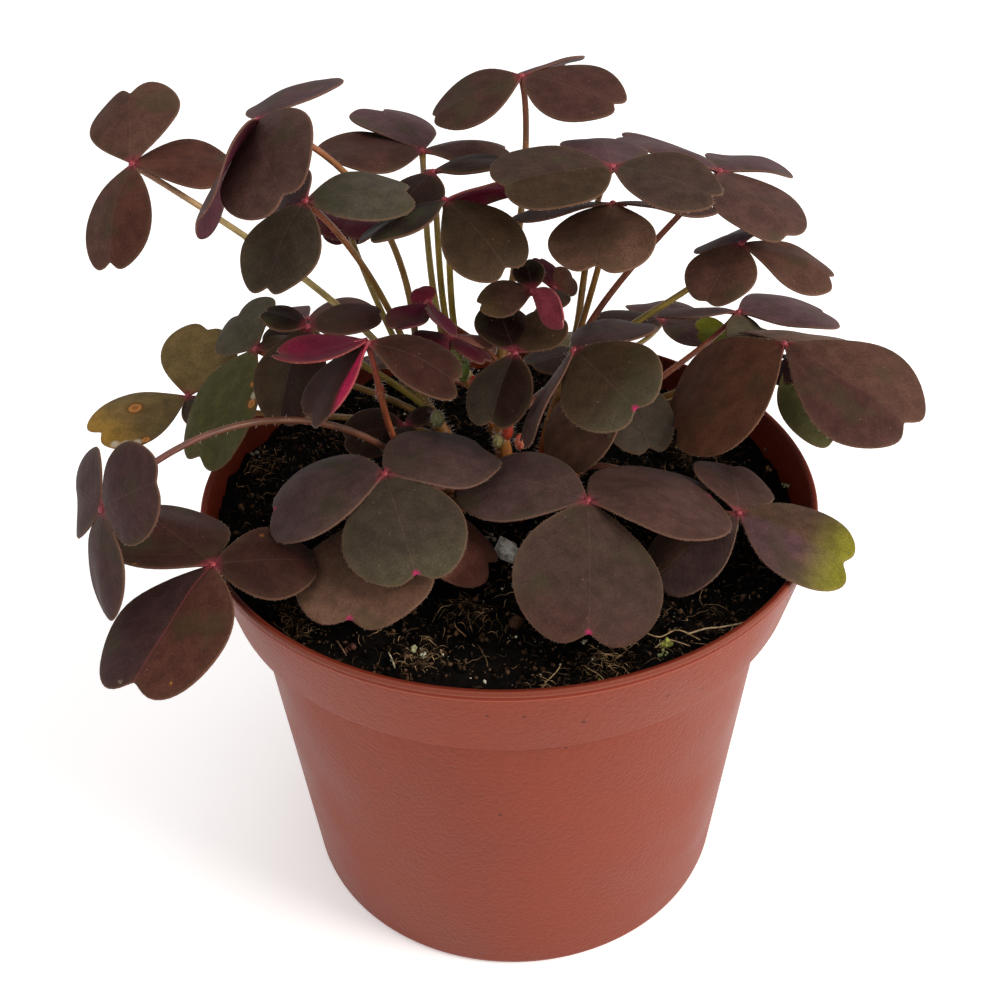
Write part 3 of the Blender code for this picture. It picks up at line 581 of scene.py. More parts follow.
def leafletFrame(heading, rise, roll):
    # the midrib's direction, the direction across and the upper face's, turned by the roll
    h, r, w = np.radians([heading, rise, roll])
    along = np.array([np.cos(h) * np.cos(r), np.sin(h) * np.cos(r), np.sin(r)])
    side = np.array([-np.sin(h), np.cos(h), 0])
    up = np.cross(along, side)
    return along, side * np.cos(w) + up * np.sin(w), up * np.cos(w) - side * np.sin(w)


def bladeColours(words, u, v, s):
    # left|right>tip: the left and right halves, turning to the tip's colour over its last half;
    # a word rib makes the midrib red, and the fourth number is how red; a word hem turns the
    # left side's edge crimson; a word dot, read in buildBlade, marks the notch
    kinds, *extra = words.split()
    halves, _, tip = kinds.partition(">")
    left, _, right = halves.partition("|")
    leftTint = linear(leafColours[left])
    rightTint = linear(leafColours[right or left])
    tint = rightTint + (leftTint - rightTint) * smooth(-0.04, 0.04, v)[:, None]
    if tip:
        tint = tint + (linear(leafColours[tip]) - tint) * smooth(0.5, 1.05, u)[:, None]
    if "hem" in extra:
        tint = tint + (linear(bladeForm["hem"]) - tint) * smooth(0.5, 0.62, s)[:, None]
    return np.column_stack([tint, np.full(len(u), bladeForm["ribStrength"] * ("rib" in extra))])


def nearest(flat, spots):
    # the distance from each point to the nearest spot, in that spot's radii
    found = [np.linalg.norm(flat - [u, v], axis=1) / size for u, v, size in spots]
    return np.min(found, axis=0) if found else np.full(len(flat), farAway)


def walked(ring, walk, places):
    # points of a closed ring at places along it, walk being how far along each corner is
    closed = np.vstack([ring, ring[:1]])
    return np.column_stack([np.interp(places, walk, axis) for axis in closed.T])


def bladeOutline(kind, starts):
    # reach(f) = sqrt(cos(90 f / fanEdge)) (1 - notchDepth exp(-(|f| / notchWidth)^1.6))
    # (1 - (|f| / widest)^shoulder)^side, in leaflet lengths from the base at f degrees from
    # the midrib, with two slow ripples; s goes from -1 at one end of it to 1 at the other
    form = bladeForm
    notchDepth, opening = outlines[kind]
    widest = opening + form["spread"]
    s = np.linspace(-1, 1, form["columns"] + 1)
    f = 0.9999 * widest * np.sign(s) * np.sin(math.pi / 2 * np.abs(s) ** 1.3)
    notch = 1 - notchDepth * np.exp(-(np.abs(f) / form["notchWidth"]) ** 1.6)
    ripple = 1 + 0.014 * np.sin(f / 17 + starts[0]) + 0.01 * np.sin(f / 8 + starts[1])
    reach = np.sqrt(np.cos(np.radians(90 * f / form["fanEdge"]))) * notch * ripple
    rounded = (1 - (np.abs(f) / widest) ** form["shoulder"]) ** form["side"]
    return s, f, reach * rounded / form["longestReach"]


def bladeHeights(u, v, t, f, fold, starts):
    # 4 arch u (1 - u) - cup v^2 - fold |v|, rounded at the midrib, and a few slow waves
    form = bladeForm
    crease = np.sqrt(v ** 2 + 0.0009) - 0.03
    waves = (np.sin(5.2 * u + 3.1 * v + starts[2]) + np.sin(8.3 * v - 4.4 * u + starts[3])
             + 1.2 * t[:, None] ** 3 * np.sin(f / 9 + starts[4])[None])
    return (4 * form["arch"] * u * (1 - u) - form["cup"] * v ** 2 - fold * crease
            + form["wave"] * waves * smooth(0, 0.5, u))


edgeHairs = []      # places, directions and lengths, gathered leaflet by leaflet


def growEdgeHairs(rim, walk, outward):
    # fine hairs stand out from the edge, spread evenly along it
    form = bladeForm
    many = int(walk[-1] * form["hairsPerMillimetre"])
    place = chance.uniform(0, 1, many) * walk[-1]
    stray = chance.normal(0, form["hairStray"], (many, 3))
    lean = unit(outward[np.searchsorted(walk, place) % len(rim)] + stray)
    edgeHairs.append(np.column_stack([walked(rim, walk, place), lean,
                                      chance.uniform(*form["hairLength"], many)]))


def buildBlade(hub, spots, heading, rise, roll, length, breadth, colours, kind="plain", fold=0.05):
    # two sheets and a round rim: each row of a sheet is the outline at t of its reach, with
    # u = t reach cos f along the midrib and v = t reach sin f breadth across it
    form = bladeForm
    rows, columns = form["rows"], form["columns"]
    starts = chance.uniform(0, form["waveStarts"], 5)
    t = 1 - (1 - np.linspace(0.03, 1, rows)) ** 1.3
    s, f, reach = bladeOutline(kind, starts)
    u = t[:, None] * (reach * np.cos(np.radians(f)))[None]
    v = t[:, None] * (reach * np.sin(np.radians(f)))[None] * breadth
    v = v * (1 - 0.25 * np.exp(-(t / 0.14) ** 2))[:, None]
    height = bladeHeights(u, v, t, f, fold, starts)
    u, v, height = (x.ravel() for x in (u, v, height))
    along, side, up = leafletFrame(heading, rise, roll)
    top = np.array(hub) + length * (np.outer(u, along) + np.outer(v, side)
                                    + np.outer(height, up))
    thick = form["edgeThickness"] + ((form["baseThickness"] - form["edgeThickness"])
                                     * np.exp(-(v * length / 0.7) ** 2) * (1 - u).clip(0, 1))
    bottom = top - up * thick[:, None]
    # the outline in the leaflet's own plane, and the gaps that the material reads
    grid = np.arange(rows * (columns + 1)).reshape(rows, columns + 1)
    loop = np.concatenate([grid[0, :-1], grid[:-1, -1], grid[-1, :0:-1], grid[:0:-1, 0]])
    flat = np.column_stack([u, v]) * length
    outline = flat[loop]
    walk = distances(np.vstack([outline, outline[:1]]))
    dense = walked(outline, walk, np.linspace(0, walk[-1], 500))
    edge = np.sqrt(((flat[:, None] - dense[None]) ** 2).sum(-1).min(1))
    notchGap = np.full(len(u), farAway)
    if "dot" in colours:
        notchPlace = np.array([reach[columns // 2], 0]) * length
        notchGap = np.linalg.norm(flat - notchPlace, axis=1)
    gaps = np.column_stack([np.abs(v) * length, edge, notchGap])
    underGaps = gaps + [0.1, 0, 0]
    outward = unit(np.outer(outline[:, 0] - length * 0.5, along)
                   + np.outer(outline[:, 1], side))
    rim = (top[loop] + bottom[loop]) / 2 + outward * form["edgeThickness"] * 0.4
    growEdgeHairs(rim, walk, outward)
    count, turns = len(top), len(loop)
    quads = gridQuads(rows, columns + 1)
    a = np.arange(turns)
    b = (a + 1) % turns
    strips = [np.column_stack([loop[a], loop[b], 2 * count + b, 2 * count + a]),
              np.column_stack([2 * count + a, 2 * count + b, count + loop[b], count + loop[a]])]
    tint = bladeColours(colours, u, v, np.tile(s, rows))
    share = form["undersideShare"]
    under = np.column_stack([tint[:, :3] * (1 - share) + linear(form["underside"]) * share,
                             tint[:, 3]])
    share = form["rimShare"]
    rimTint = tint[loop] * (1 - share) + np.append(linear(form["rim"]), 0.0) * share
    marks = np.column_stack([*(nearest(flat, group) for group in spots), np.zeros(len(u))])
    return {"points": np.vstack([top, bottom, rim]),
            "quads": np.vstack([quads, quads[:, ::-1] + count] + strips),
            "uv": np.vstack([flat, flat, outline]),
            "tint": np.vstack([tint, under, rimTint]),
            "gaps": np.vstack([gaps, underGaps, gaps[loop] * [1, 0, 1]]),
            "burns": np.vstack([marks, marks, marks[loop]])}


def pieceName(node):
    # leaf_top_left becomes leafTopLeft
    first, *rest = node.split("_")
    return first + "".join(word.capitalize() for word in rest)


# the knuckle that joins the three leaflets, and the neck that runs from it onto each midrib,
# of full length on a leaflet of wholeLength
hubForm = {"radius": 0.58, "drop": 0.25, "neckLength": 2.2, "wholeLength": 16, "neckRadius": 0.36,
           "neckShares": (1.25, 0.45), "neckDrop": 0.28, "neckSteps": 6, "neckSides": 8}


def buildHub(hub, leaflets):
    # a ball just under the hub, and a straight neck along each midrib that thins as it goes
    form = hubForm
    red = linear(bladeForm["hub"])
    steps = form["neckSteps"]
    parts = [ball(np.array(hub) - [0, 0, form["drop"]], np.full(3, form["radius"]), red, 1)]
    for heading, rise, roll, length, *rest in leaflets:
        along, side, up = leafletFrame(heading, rise, roll)
        reach = np.linspace(0, form["neckLength"] * min(1, length / form["wholeLength"]), steps)
        path = np.array(hub) - up * form["neckDrop"] + reach[:, None] * along
        radii = form["neckRadius"] * np.linspace(*form["neckShares"], steps)
        parts.append(tube(path, radii, form["neckSides"], np.tile(red, (steps, 1)), 1))
    return parts


for node, (stem, share, bow, hub, stalkColour, leaflets) in leaves.items():
    parts = [buildBlade(hub, (burnt.get((node, k), []), paleSpots.get((node, k), [])), *leaflet)
             for k, leaflet in enumerate(leaflets)]
    leaf = makePiece(pieceName(node), parts + buildHub(hub, leaflets), [blade, stalk])
    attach(leaf, "root")
    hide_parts(node)
print("leaves:", len(leaves))

# Stems, their stalks and the crown's buds
stemForm = {
    "baseRadius": 1.5, "topRadius": 0.9, "stemSteps": 24, "swelling": 0.08,
    "stalkBase": 0.62, "stalkTip": 0.46, "stalkSteps": 26, "sides": 12,
    # how much the stalk widens at its stem and at its hub, and over what share of it
    "flare": (0.4, 0.06), "tipFlare": (0.12, 0.05),
    # how far the stalk's end stays under the hub, how square it arrives, and its two guides
    "hubGap": 0.5, "squareness": 0.6, "guides": (0.3, 0.25),
    "foot": "#98361c", "middle": "#8c5c28", "tip": "#86702e",
    # hairs for each millimetre, and their length
    "stemHairs": (11, 1.1), "stalkHairs": (1.8, 0.55), "budHairs": (18, 0.9), "hairRadius": 0.035,
}


def pointAlong(points, share):
    # the place at a share of a path of straight stretches, and the direction there
    p = np.array(points, float)
    ends = distances(p)
    k = min(np.searchsorted(ends, share * ends[-1]) - 1, len(p) - 2)
    direction = (p[k + 1] - p[k]) / np.linalg.norm(p[k + 1] - p[k])
    return p[k] + direction * (share * ends[-1] - ends[k]), direction


def stalkPath(stem, share, bow, hub, leaflets):
    # a cubic from the stem to just under the hub: it leaves between the stem's direction and
    # the hub's, bends by its bow, and arrives nearly square to the leaf
    form = stemForm
    start, stemDirection = pointAlong(stem, share)
    faces = np.array([leafletFrame(*leaflet[:3])[2] for leaflet in leaflets])
    upward = unit((faces * np.where(faces[:, 2:] > 0, 1, -1)).sum(0))
    toHub = unit(np.array(hub) - start)
    arrival = unit(upward * form["squareness"] + toHub * (1 - form["squareness"]))
    end = np.array(hub) - arrival * form["hubGap"]
    span = np.linalg.norm(end - start)
    first = start + unit(stemDirection + toHub) * span * form["guides"][0] + bow
    second = end - unit(arrival + toHub) * span * form["guides"][1] + bow
    t = np.linspace(0, 1, form["stalkSteps"])[:, None]
    return (start * (1 - t) ** 3 + first * 3 * t * (1 - t) ** 2 + second * 3 * t * t * (1 - t)
            + end * t ** 3)


hairRoots = []      # places, directions and lengths for the hairs, gathered stem by stem


def growHairs(path, radii, perMillimetre, length):
    # roots spread along a path and round it, each pointing away from its middle line
    along, side, up = frameAlong(path)
    count = int(distances(path)[-1] * perMillimetre)
    where = chance.uniform(0, len(path) - 1.001, count)
    k = where.astype(int)
    t = (where - k)[:, None]
    a = chance.uniform(0, fullTurn, count)[:, None]
    out = np.cos(a) * side[k] + np.sin(a) * up[k]
    root = path[k] * (1 - t) + path[k + 1] * t + out * (radii[k][:, None] - 0.05)
    lean = unit(out + along[k] * chance.normal(0.15, 0.3, (count, 1)))
    hairRoots.append(np.column_stack([root, lean, length * chance.uniform(0.5, 1.2, count)]))


def buildStalk(points, share, bow, hub, stalkColour, leaflets):
    # its radius goes from base to tip, with a flare exp(-(t / share)^2) at each end
    form = stemForm
    path = stalkPath(points, share, bow, hub, leaflets)
    t = np.linspace(0, 1, form["stalkSteps"])
    flare, tipFlare = form["flare"], form["tipFlare"]
    radii = (form["stalkBase"] + (form["stalkTip"] - form["stalkBase"]) * t
             + flare[0] * np.exp(-(t / flare[1]) ** 2)
             + tipFlare[0] * np.exp(-((1 - t) / tipFlare[1]) ** 2))
    low, high = (linear(hexCode) for hexCode in stalkColours[stalkColour])
    colour = low + (high - low) * smooth(0.55, 1.0, t)[:, None]
    growHairs(path, radii, *form["stalkHairs"])
    return tube(path, radii, form["sides"], colour)


def buildStem(points, start):
    # its radius goes from base to top with slow swellings, and its colour from foot to tip
    form = stemForm
    path = throughPoints(points, form["stemSteps"])
    share = np.linspace(0, 1, form["stemSteps"])
    radii = form["baseRadius"] + (form["topRadius"] - form["baseRadius"]) * share
    radii = radii * (1 + form["swelling"] * np.sin(9 * share + start))
    middle, tip = smooth(0.2, 0.6, share)[:, None], smooth(0.6, 1.0, share)[:, None]
    colour = linear(form["foot"]) * (1 - middle) + linear(form["middle"]) * middle
    colour = colour + (linear(form["tip"]) - colour) * tip
    growHairs(path, radii, *form["stemHairs"])
    return tube(path, radii, form["sides"], colour)


for name, points in stems.items():
    parts = [buildStem(points, len(name))]
    for stem, *growth in leaves.values():
        if stem == name:
            parts.append(buildStalk(points, *growth))
    piece = makePiece(pieceName(name), parts, [stalk])
    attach(piece, "root")
    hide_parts(name)
print("stems:", len(stems))

# hairy buds of new leaves at the crown: place, radii and colour
buds = [((-11.3, -4.5, 95.8), (1.2, 1.1, 1.6), "#6e6c42"),
        ((-1.5, -5.0, 91.6), (0.9, 0.9, 1.4), "#8a7c48"),
        ((-8.0, 2.0, 103.0), (1.2, 1.0, 2.0), "#7d7a3c"),
        ((2.6, -1.0, 97.0), (1.1, 1.0, 1.8), "#a0482c"),
        ((0.0, -5.0, 93.6), (1.0, 0.9, 1.9), "#9c3420"),
        ((2.0, -6.0, 91.9), (0.9, 0.9, 1.5), "#a84c34"),
        ((-7.0, 3.0, 100.8), (1.1, 0.8, 2.4), "#5c6f2c"),
        ((-5.3, 1.0, 98.9), (0.8, 0.7, 1.6), "#a8321f"),
        ((-20.9, 2.0, 97.2), (0.8, 0.7, 2.0), "#a03030")]
budParts = []
for place, radii, hexCode in buds:
    budParts.append(ball(np.array(place), np.array(radii), linear(hexCode)))
    bottom, top = np.array(place) - [0, 0, radii[2]], np.array(place) + [0, 0, radii[2]]
    share = np.linspace(-1, 1, 9)
    path = bottom + (top - bottom) * np.linspace(0, 1, 9)[:, None]
    growHairs(path, radii[0] * np.sqrt(1.02 - share ** 2), *stemForm["budHairs"])
budPiece = makePiece("crownBuds", budParts, [stalk])
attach(budPiece, "root")
print("buds:", len(buds))


def hairPiece(name, roots, radius, material):
    # one thin three-sided cone for each root, from its foot to its tip
    count = len(roots)
    lean = roots[:, 3:6]
    across = unit(np.cross(lean, chance.normal(size=(count, 3))))
    third = np.cross(lean, across)
    turn = fullTurn * np.arange(3) / 3
    foot = (roots[:, None, :3] + radius * (np.cos(turn)[None, :, None] * across[:, None]
                                           + np.sin(turn)[None, :, None] * third[:, None]))
    tips = roots[:, :3] + lean * roots[:, 6:7]
    points = np.concatenate([foot, tips[:, None]], 1).reshape(-1, 3)
    cone = np.array([[0, 1, 3], [1, 2, 3], [2, 0, 3], [2, 1, 0]])
    faces = (cone[None] + 4 * np.arange(count)[:, None, None]).reshape(-1, 3)
    piece = makePiece(name, [{"points": points, "triangles": faces}], [material])
    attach(piece, "root")
    print(name + ":", count)


paleHair = plantHair()
hairPiece("stemHairs", np.concatenate(hairRoots), stemForm["hairRadius"], paleHair)
hairPiece("leafHairs", np.concatenate(edgeHairs), bladeForm["hairRadius"], paleHair)

# Pot
potForm = {
    "steps": 192, "cornerSteps": 5,
    # radius, height and rounding of each corner, from the floor's inside centre over the lip
    "corners": [(0, 1.8, 0), (37.8, 1.8, 1.0), (44.6, 66.2, 0.8), (47.6, 66.5, 0.8),
                (50.5, 78.0, 1.0), (51.3, 80.2, 0.45), (52.3, 80.2, 0.45), (52.3, 78.5, 0.5),
                (49.2, 65.3, 0.9), (45.9, 65.1, 0.6), (39.9, 0.0, 1.4), (0, 0, 0)],
    # the cutters of the drain holes run from below the floor to above it
    "drains": 6, "drainRadius": 3.0, "drainRing": 25.0, "drainHeights": (-2, 5), "drainSides": 24,
    # the material: how many to a metre of its chalky clouds, the mould's grain and dust dots
    "chalkScale": 60, "grainScale": 1400, "dustScale": 260,
    "colours": [(0.3, "#763220"), (0.7, "#7d3623")], "dustColour": "#5c2c22",
    # in metres: radii over the lip's top, heights down its side, and where both begin
    "lipTop": (0.0512, 0.0523), "lipSide": (0.0802, 0.0762),
    "lipRadius": (0.0510, 0.0513), "lipHeight": (0.0783, 0.0785),
    # the inside: its wall's lean, then, in metres, its radius at height 0 and where it starts, then
    # the painted shade's colour there
    "insideLean": 0.248, "insideRadius": (0.0323, 0.0317), "insideHeight": (0.0664, 0.0666),
    "insideShadeColour": "#5c1f10",
    # shares of the 3 mm way over the lip, and the colours there: painted highlights and painted shade
    # in bands, for the light lines and dark grooves of a rolled lip
    "lipLightAndShade": [(0.0, "#3c1208"), (0.08, "#5e1e10"), (0.25, "#652213"), (0.31, "#7c4232"),
                 (0.36, "#743828"), (0.56, "#703224"), (0.62, "#864a38"), (0.68, "#6a210f"),
                 (0.82, "#742814"), (0.88, "#94523e"), (0.93, "#7a3523")],
    # dark moulding specks: place and radius
    "specks": [((9.9, -49.7, 71.6), 0.5), ((1.2, -51.4, 74.6), 0.4), ((22.6, -45.6, 72.4), 0.4),
               ((-4.1, -51.3, 74.9), 0.35), ((-2.7, -44.0, 45.5), 0.4),
               ((7.7, -44.9, 61.3), 0.3), ((28.5, -41.4, 69.8), 0.35)],
    "speckColour": "#3a120c",
}


def mouldedPlastic():
    # Injection-moulded polypropylene, terracotta coloured: a fine spark-eroded grain on the
    # mould leaves it satin, slightly chalky with handling, and dusted with peat.
    # Shade is painted over the inside of its wall, and highlights and shade in bands over its lip.
    form = potForm
    material, tree, shader = newMaterial("mouldedPolypropylene", Roughness=0.42, IOR=1.49,
                                         Specular_IOR_Level=0.1)
    place = objectPlace(tree)
    chalk = noise(tree, place, form["chalkScale"], 4)
    grain = noise(tree, place, form["grainScale"], 3)
    colour = vectors(tree, "SCALE", first=ramped(tree, chalk, form["colours"]),
                     Scale=ranged(tree, grain, 0.25, 0.75, 0.92, 1.08))
    dust = eased(tree, dots(tree, place, form["dustScale"]), 0.05, 0.1, 0.55, 0.0)
    colour = mixed(tree, dust, colour, form["dustColour"])
    # the lip's painted highlights and painted shade, in bands by the way round it: over its top, then
    # down its outside
    flat = vectors(tree, "MULTIPLY", first=place, second=(1, 1, 0))
    radius = vectors(tree, "LENGTH", "Value", first=flat)
    height = split(tree, place)[2]
    way = combined(tree, "ADD", ranged(tree, radius, *form["lipTop"], 0.0, 1.1),
                   ranged(tree, height, *form["lipSide"], 0.0, 4.0))
    lipPaintedLight = ramped(tree, ranged(tree, way, 0.0, 3.0), form["lipLightAndShade"])
    onLip = combined(tree, "MULTIPLY", ranged(tree, radius, *form["lipRadius"]),
                     ranged(tree, height, *form["lipHeight"]))
    colour = mixed(tree, onLip, colour, lipPaintedLight)
    # painted shade over the inside of the wall, whose middle stands 32 mm + 0.248 z from the axis
    # above the step
    lean = combined(tree, "MULTIPLY_ADD", height, -form["insideLean"], radius)
    inside = combined(tree, "MULTIPLY", ranged(tree, lean, *form["insideRadius"]),
                      ranged(tree, height, *form["insideHeight"]))
    colour = mixed(tree, inside, colour, form["insideShadeColour"])
    for spot, size in form["specks"]:
        gap = vectors(tree, "DISTANCE", "Value", first=place, second=[v * mm for v in spot])
        mask = eased(tree, gap, size * mm * 0.5, size * mm, 0.75, 0.0)
        colour = mixed(tree, mask, colour, form["speckColour"])
    tree.links.new(ranged(tree, chalk, 0.3, 0.7, 0.36, 0.5), shader.inputs["Roughness"])
    finishSkin(tree, shader, colour, grain, 0.8, 0.0002)
    return material


def roundedOutline(corners, steps):
    # each corner becomes the quadratic from one side to the other, its rounding away from it
    p = np.array(corners, float)
    place, rounding = p[1:-1, :2], p[1:-1, 2:]
    before = unit(p[:-2, :2] - place) * rounding
    after = unit(p[2:, :2] - place) * rounding
    t = np.linspace(0, 1, steps)[None, :, None]
    arcs = (place[:, None] + before[:, None] * (1 - t) ** 2 + after[:, None] * t ** 2)
    return np.vstack([p[0, :2], arcs.reshape(-1, 2), p[-1, :2]])


def turned(outline, steps):
    # (r cos a, r sin a, z) for each point of the outline, with a point at each end on the axis
    middle = outline[1:-1]
    shell = ringsRound(middle[:, 0], middle[:, 1], steps).reshape(-1, 3)
    return {"points": np.vstack([shell, [0, 0, outline[0, 1]], [0, 0, outline[-1, 1]]]),
            "quads": gridQuads(len(middle), steps, closed=True),
            "triangles": endFans(len(shell), steps)}


def drainCutter(turn):
    # an upright cylinder on the ring; its outline runs upward, so its faces are turned over
    form = potForm
    low, high = form["drainHeights"]
    radius, ring = form["drainRadius"], form["drainRing"]
    cutter = turned(np.array([(0, low), (radius, low), (radius, high), (0, high)], float),
                    form["drainSides"])
    return {"points": cutter["points"] + [ring * math.cos(turn), ring * math.sin(turn), 0],
            "quads": cutter["quads"][:, ::-1], "triangles": cutter["triangles"][:, ::-1]}


potPiece = makePiece("potBody", [turned(roundedOutline(potForm["corners"],
                                                       potForm["cornerSteps"]),
                                        potForm["steps"])], [mouldedPlastic()])
cutters = makePiece("drainCutters", [drainCutter(fullTurn * i / potForm["drains"])
                                     for i in range(potForm["drains"])], [])
cut = potPiece.modifiers.new("drains", "BOOLEAN")
cut.operation, cut.object, cut.solver = "DIFFERENCE", cutters, "EXACT"
bpy.context.view_layer.update()
finished = bpy.data.meshes.new_from_object(
    potPiece.evaluated_get(bpy.context.evaluated_depsgraph_get()))
potPiece.modifiers.clear()
potPiece.data = finished
bpy.data.objects.remove(cutters)
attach(potPiece, "root")
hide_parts("pot")
print("pot:", len(potPiece.data.polygons), "faces")

# Soil
soilForm = {
    "rings": 100, "steps": 260, "level": 74.0, "mound": 2.6, "moundWidth": 27.0, "rise": 0.05,
    "lump": 0.45,
    "waves": [(1.0, 0.31, 0.12, 0.7), (0.8, 0.23, -0.36, 1.9), (0.6, 0.62, 0.47, 0.3),
              (0.5, -0.44, 0.58, 2.6)],
    "edge": 49.2, "wall": [(47.4, 67.2), (47.0, 66.85), (44.2, 66.5), (38.3, 3.1), (37.5, 2.15)],
    # the wall's radius at a height, how much it widens for each mm up, and the room left there
    "wallRadius": 47.9, "wallHeight": 67, "wallSlope": 0.2358, "wallRoom": 0.15,
    # cell and height of each size of grain, and the side of their tables of random heights
    "grains": [(5.0, 0.7), (1.9, 0.6), (0.8, 0.35)], "grainTable": 160,
    # how many loose bits there are, and how far their corners stray
    "crumbs": 8800, "chips": 60, "perlite": 420, "stray": 0.28,
    # the damp soil's two colours, with the cell and the shift of their patches, and dry peat
    "black": "#040302", "brown": "#0b0705", "patch": 3.1, "patchShift": (9, -4),
    "dry": "#5e4532",
}
# single bits that stand out: place, radius, flatness, colour
finds = [((-0.5, -16.4, 77.4), 2.4, 0.6, "#ece5d6"), ((-3.4, -11.7, 76.8), 1.0, 0.4, "#a89a88"),
         ((-14.9, -37.0, 75.2), 1.0, 0.7, "#b0ae86"), ((-13.5, -38.2, 75.0), 0.7, 0.8, "#c4c2a4"),
         ((-16.6, -37.4, 75.0), 0.5, 0.8, "#c0bea2"), ((-15.4, -39.8, 74.8), 0.6, 0.6, "#8a8a58"),
         ((23.3, -37.2, 75.4), 1.2, 0.8, "#8f9046"), ((21.5, -40.2, 74.9), 0.9, 0.6, "#6f7352"),
         ((22.4, -38.8, 74.9), 0.7, 0.6, "#7c7e50"), ((-46.1, 15.4, 76.7), 0.9, 0.5, "#a59a8a"),
         ((48.2, 14.4, 75.3), 0.8, 0.5, "#8e6c4c"), ((46.8, 8.6, 75.3), 0.8, 0.5, "#8a6a4a"),
         ((48.8, 3.2, 75.2), 0.6, 0.7, "#8a8f6a"), ((49.0, 16.0, 75.2), 1.1, 0.3, "#6a4a36"),
         ((10.9, -35.9, 75.0), 0.5, 0.7, "#a8a088"), ((-17.9, -39.0, 75.0), 0.45, 0.8, "#bfc0a8"),
         ((-24.6, -36.0, 75.2), 1.4, 0.3, "#5a3a30"), ((12.5, -44.6, 74.8), 0.6, 0.6, "#7d7a3e"),
         ((-35.0, -26.5, 75.4), 0.45, 0.8, "#c9c4b0")]
fibreForm = {
    "count": 2850, "rings": 7, "turns": (0, 2.0944, 4.1888), "colours": ("#140c08", "#947654"),
    "length": (0.9, 2.4), "longShare": 0.12, "longer": 2.6, "bend": 0.45, "lift": 0.7,
    "radius": (0.03, 0.09),
    # the share that lies in tangles, and the place and spread of each tangle
    "tangled": 0.4,
    "tangles": [(-6.6, -28.9, 4.5), (34.0, -34.3, 4.0), (-33.0, -31.0, 4.0), (14.3, -40.7, 4.0),
                (6.6, -46.8, 3.5), (-45.8, 12.1, 5.0), (-14.1, -38.6, 3.0), (33.6, 15.1, 4.0)],
    # single long roots, which lie at one height: points, radius and colour
    "rootHeight": 75.6, "rootSteps": 14, "rootSides": 5,
    "roots": [([(26.6, -35.6), (29.4, -34.5), (32.0, -34.2), (36.2, -33.2)], 0.16, "#b09474"),
              ([(19.9, -34.9), (22.3, -36.1), (25.2, -34.6), (28.3, -37.0)], 0.12, "#a08460"),
              ([(4.4, -45.5), (6.2, -43.2), (7.0, -41.5)], 0.10, "#8a7252"),
              ([(-18.9, -37.9), (-18.2, -39.7), (-17.7, -41.5)], 0.12, "#b0a284"),
              ([(-27.0, -34.9), (-26.0, -36.8), (-25.2, -38.4)], 0.12, "#7c6048"),
              ([(-9.8, -26.1), (-8.5, -29.1), (-8.9, -32.2), (-7.2, -34.8)], 0.12, "#8c6c4c"),
              ([(-5.3, -25.3), (-6.3, -28.7), (-5.0, -31.6)], 0.10, "#7a5c42"),
              ([(21.3, -38.5), (23.4, -36.8), (26.6, -38.3)], 0.10, "#93785a"),
              ([(10.9, -42.6), (12.6, -44.3), (13.8, -46.9)], 0.10, "#7c6646")],
}


def peat():
    # Peat and fine bark: black where damp, brown where it has dried, with no gloss
    material, tree, shader = newMaterial("pottingPeat", Roughness=0.9, IOR=1.35,
                                         Specular_IOR_Level=0.1)
    grain = noise(tree, objectPlace(tree), 900, 5, 0.7)
    colour = vectors(tree, "SCALE", first=named(tree, "tint")["Color"],
                     Scale=ranged(tree, grain, 0.3, 0.7, 0.25, 1.7))
    finishSkin(tree, shader, colour, grain, 0.8, 0.0003)
    return material


def latticeNoise(x, y, cell, table):
    # random heights on a square lattice, blended smoothly between its points
    i, j = np.floor(x / cell).astype(int), np.floor(y / cell).astype(int)
    a, b = smooth(0, 1, x / cell - i), smooth(0, 1, y / cell - j)
    size = len(table)
    corner = [table[(i + di) % size, (j + dj) % size] for di in (0, 1) for dj in (0, 1)]
    return ((corner[0] * (1 - b) + corner[1] * b) * (1 - a)
            + (corner[2] * (1 - b) + corner[3] * b) * a)


grainTables = [chance.uniform(-1, 1, (soilForm["grainTable"],) * 2) for grain in soilForm["grains"]]


def soilHeight(x, y):
    # the mound, a bank toward the left, four waves that die away at the wall, and the grains
    form = soilForm
    r = np.hypot(x, y)
    lumps = sum(size * np.sin(across * x + deep * y + start)
                for size, across, deep, start in form["waves"])
    fade = 1 - np.clip(r / form["edge"], 0, 1) ** 6
    grains = sum(size * latticeNoise(x, y, cell, table)
                 for (cell, size), table in zip(form["grains"], grainTables))
    return (form["level"] + form["mound"] * np.exp(-(r / form["moundWidth"]) ** 2)
            + form["rise"] * np.maximum(-x, 0) + form["lump"] * lumps * fade + grains)


def soilTint(x, y):
    # black peat, browner where slow noise is high
    form = soilForm
    across, deep = form["patchShift"]
    share = latticeNoise(x + across, y + deep, form["patch"], grainTables[0])[:, None] * 0.5 + 0.5
    black, brown = linear(form["black"]), linear(form["brown"])
    return black + (brown - black) * share


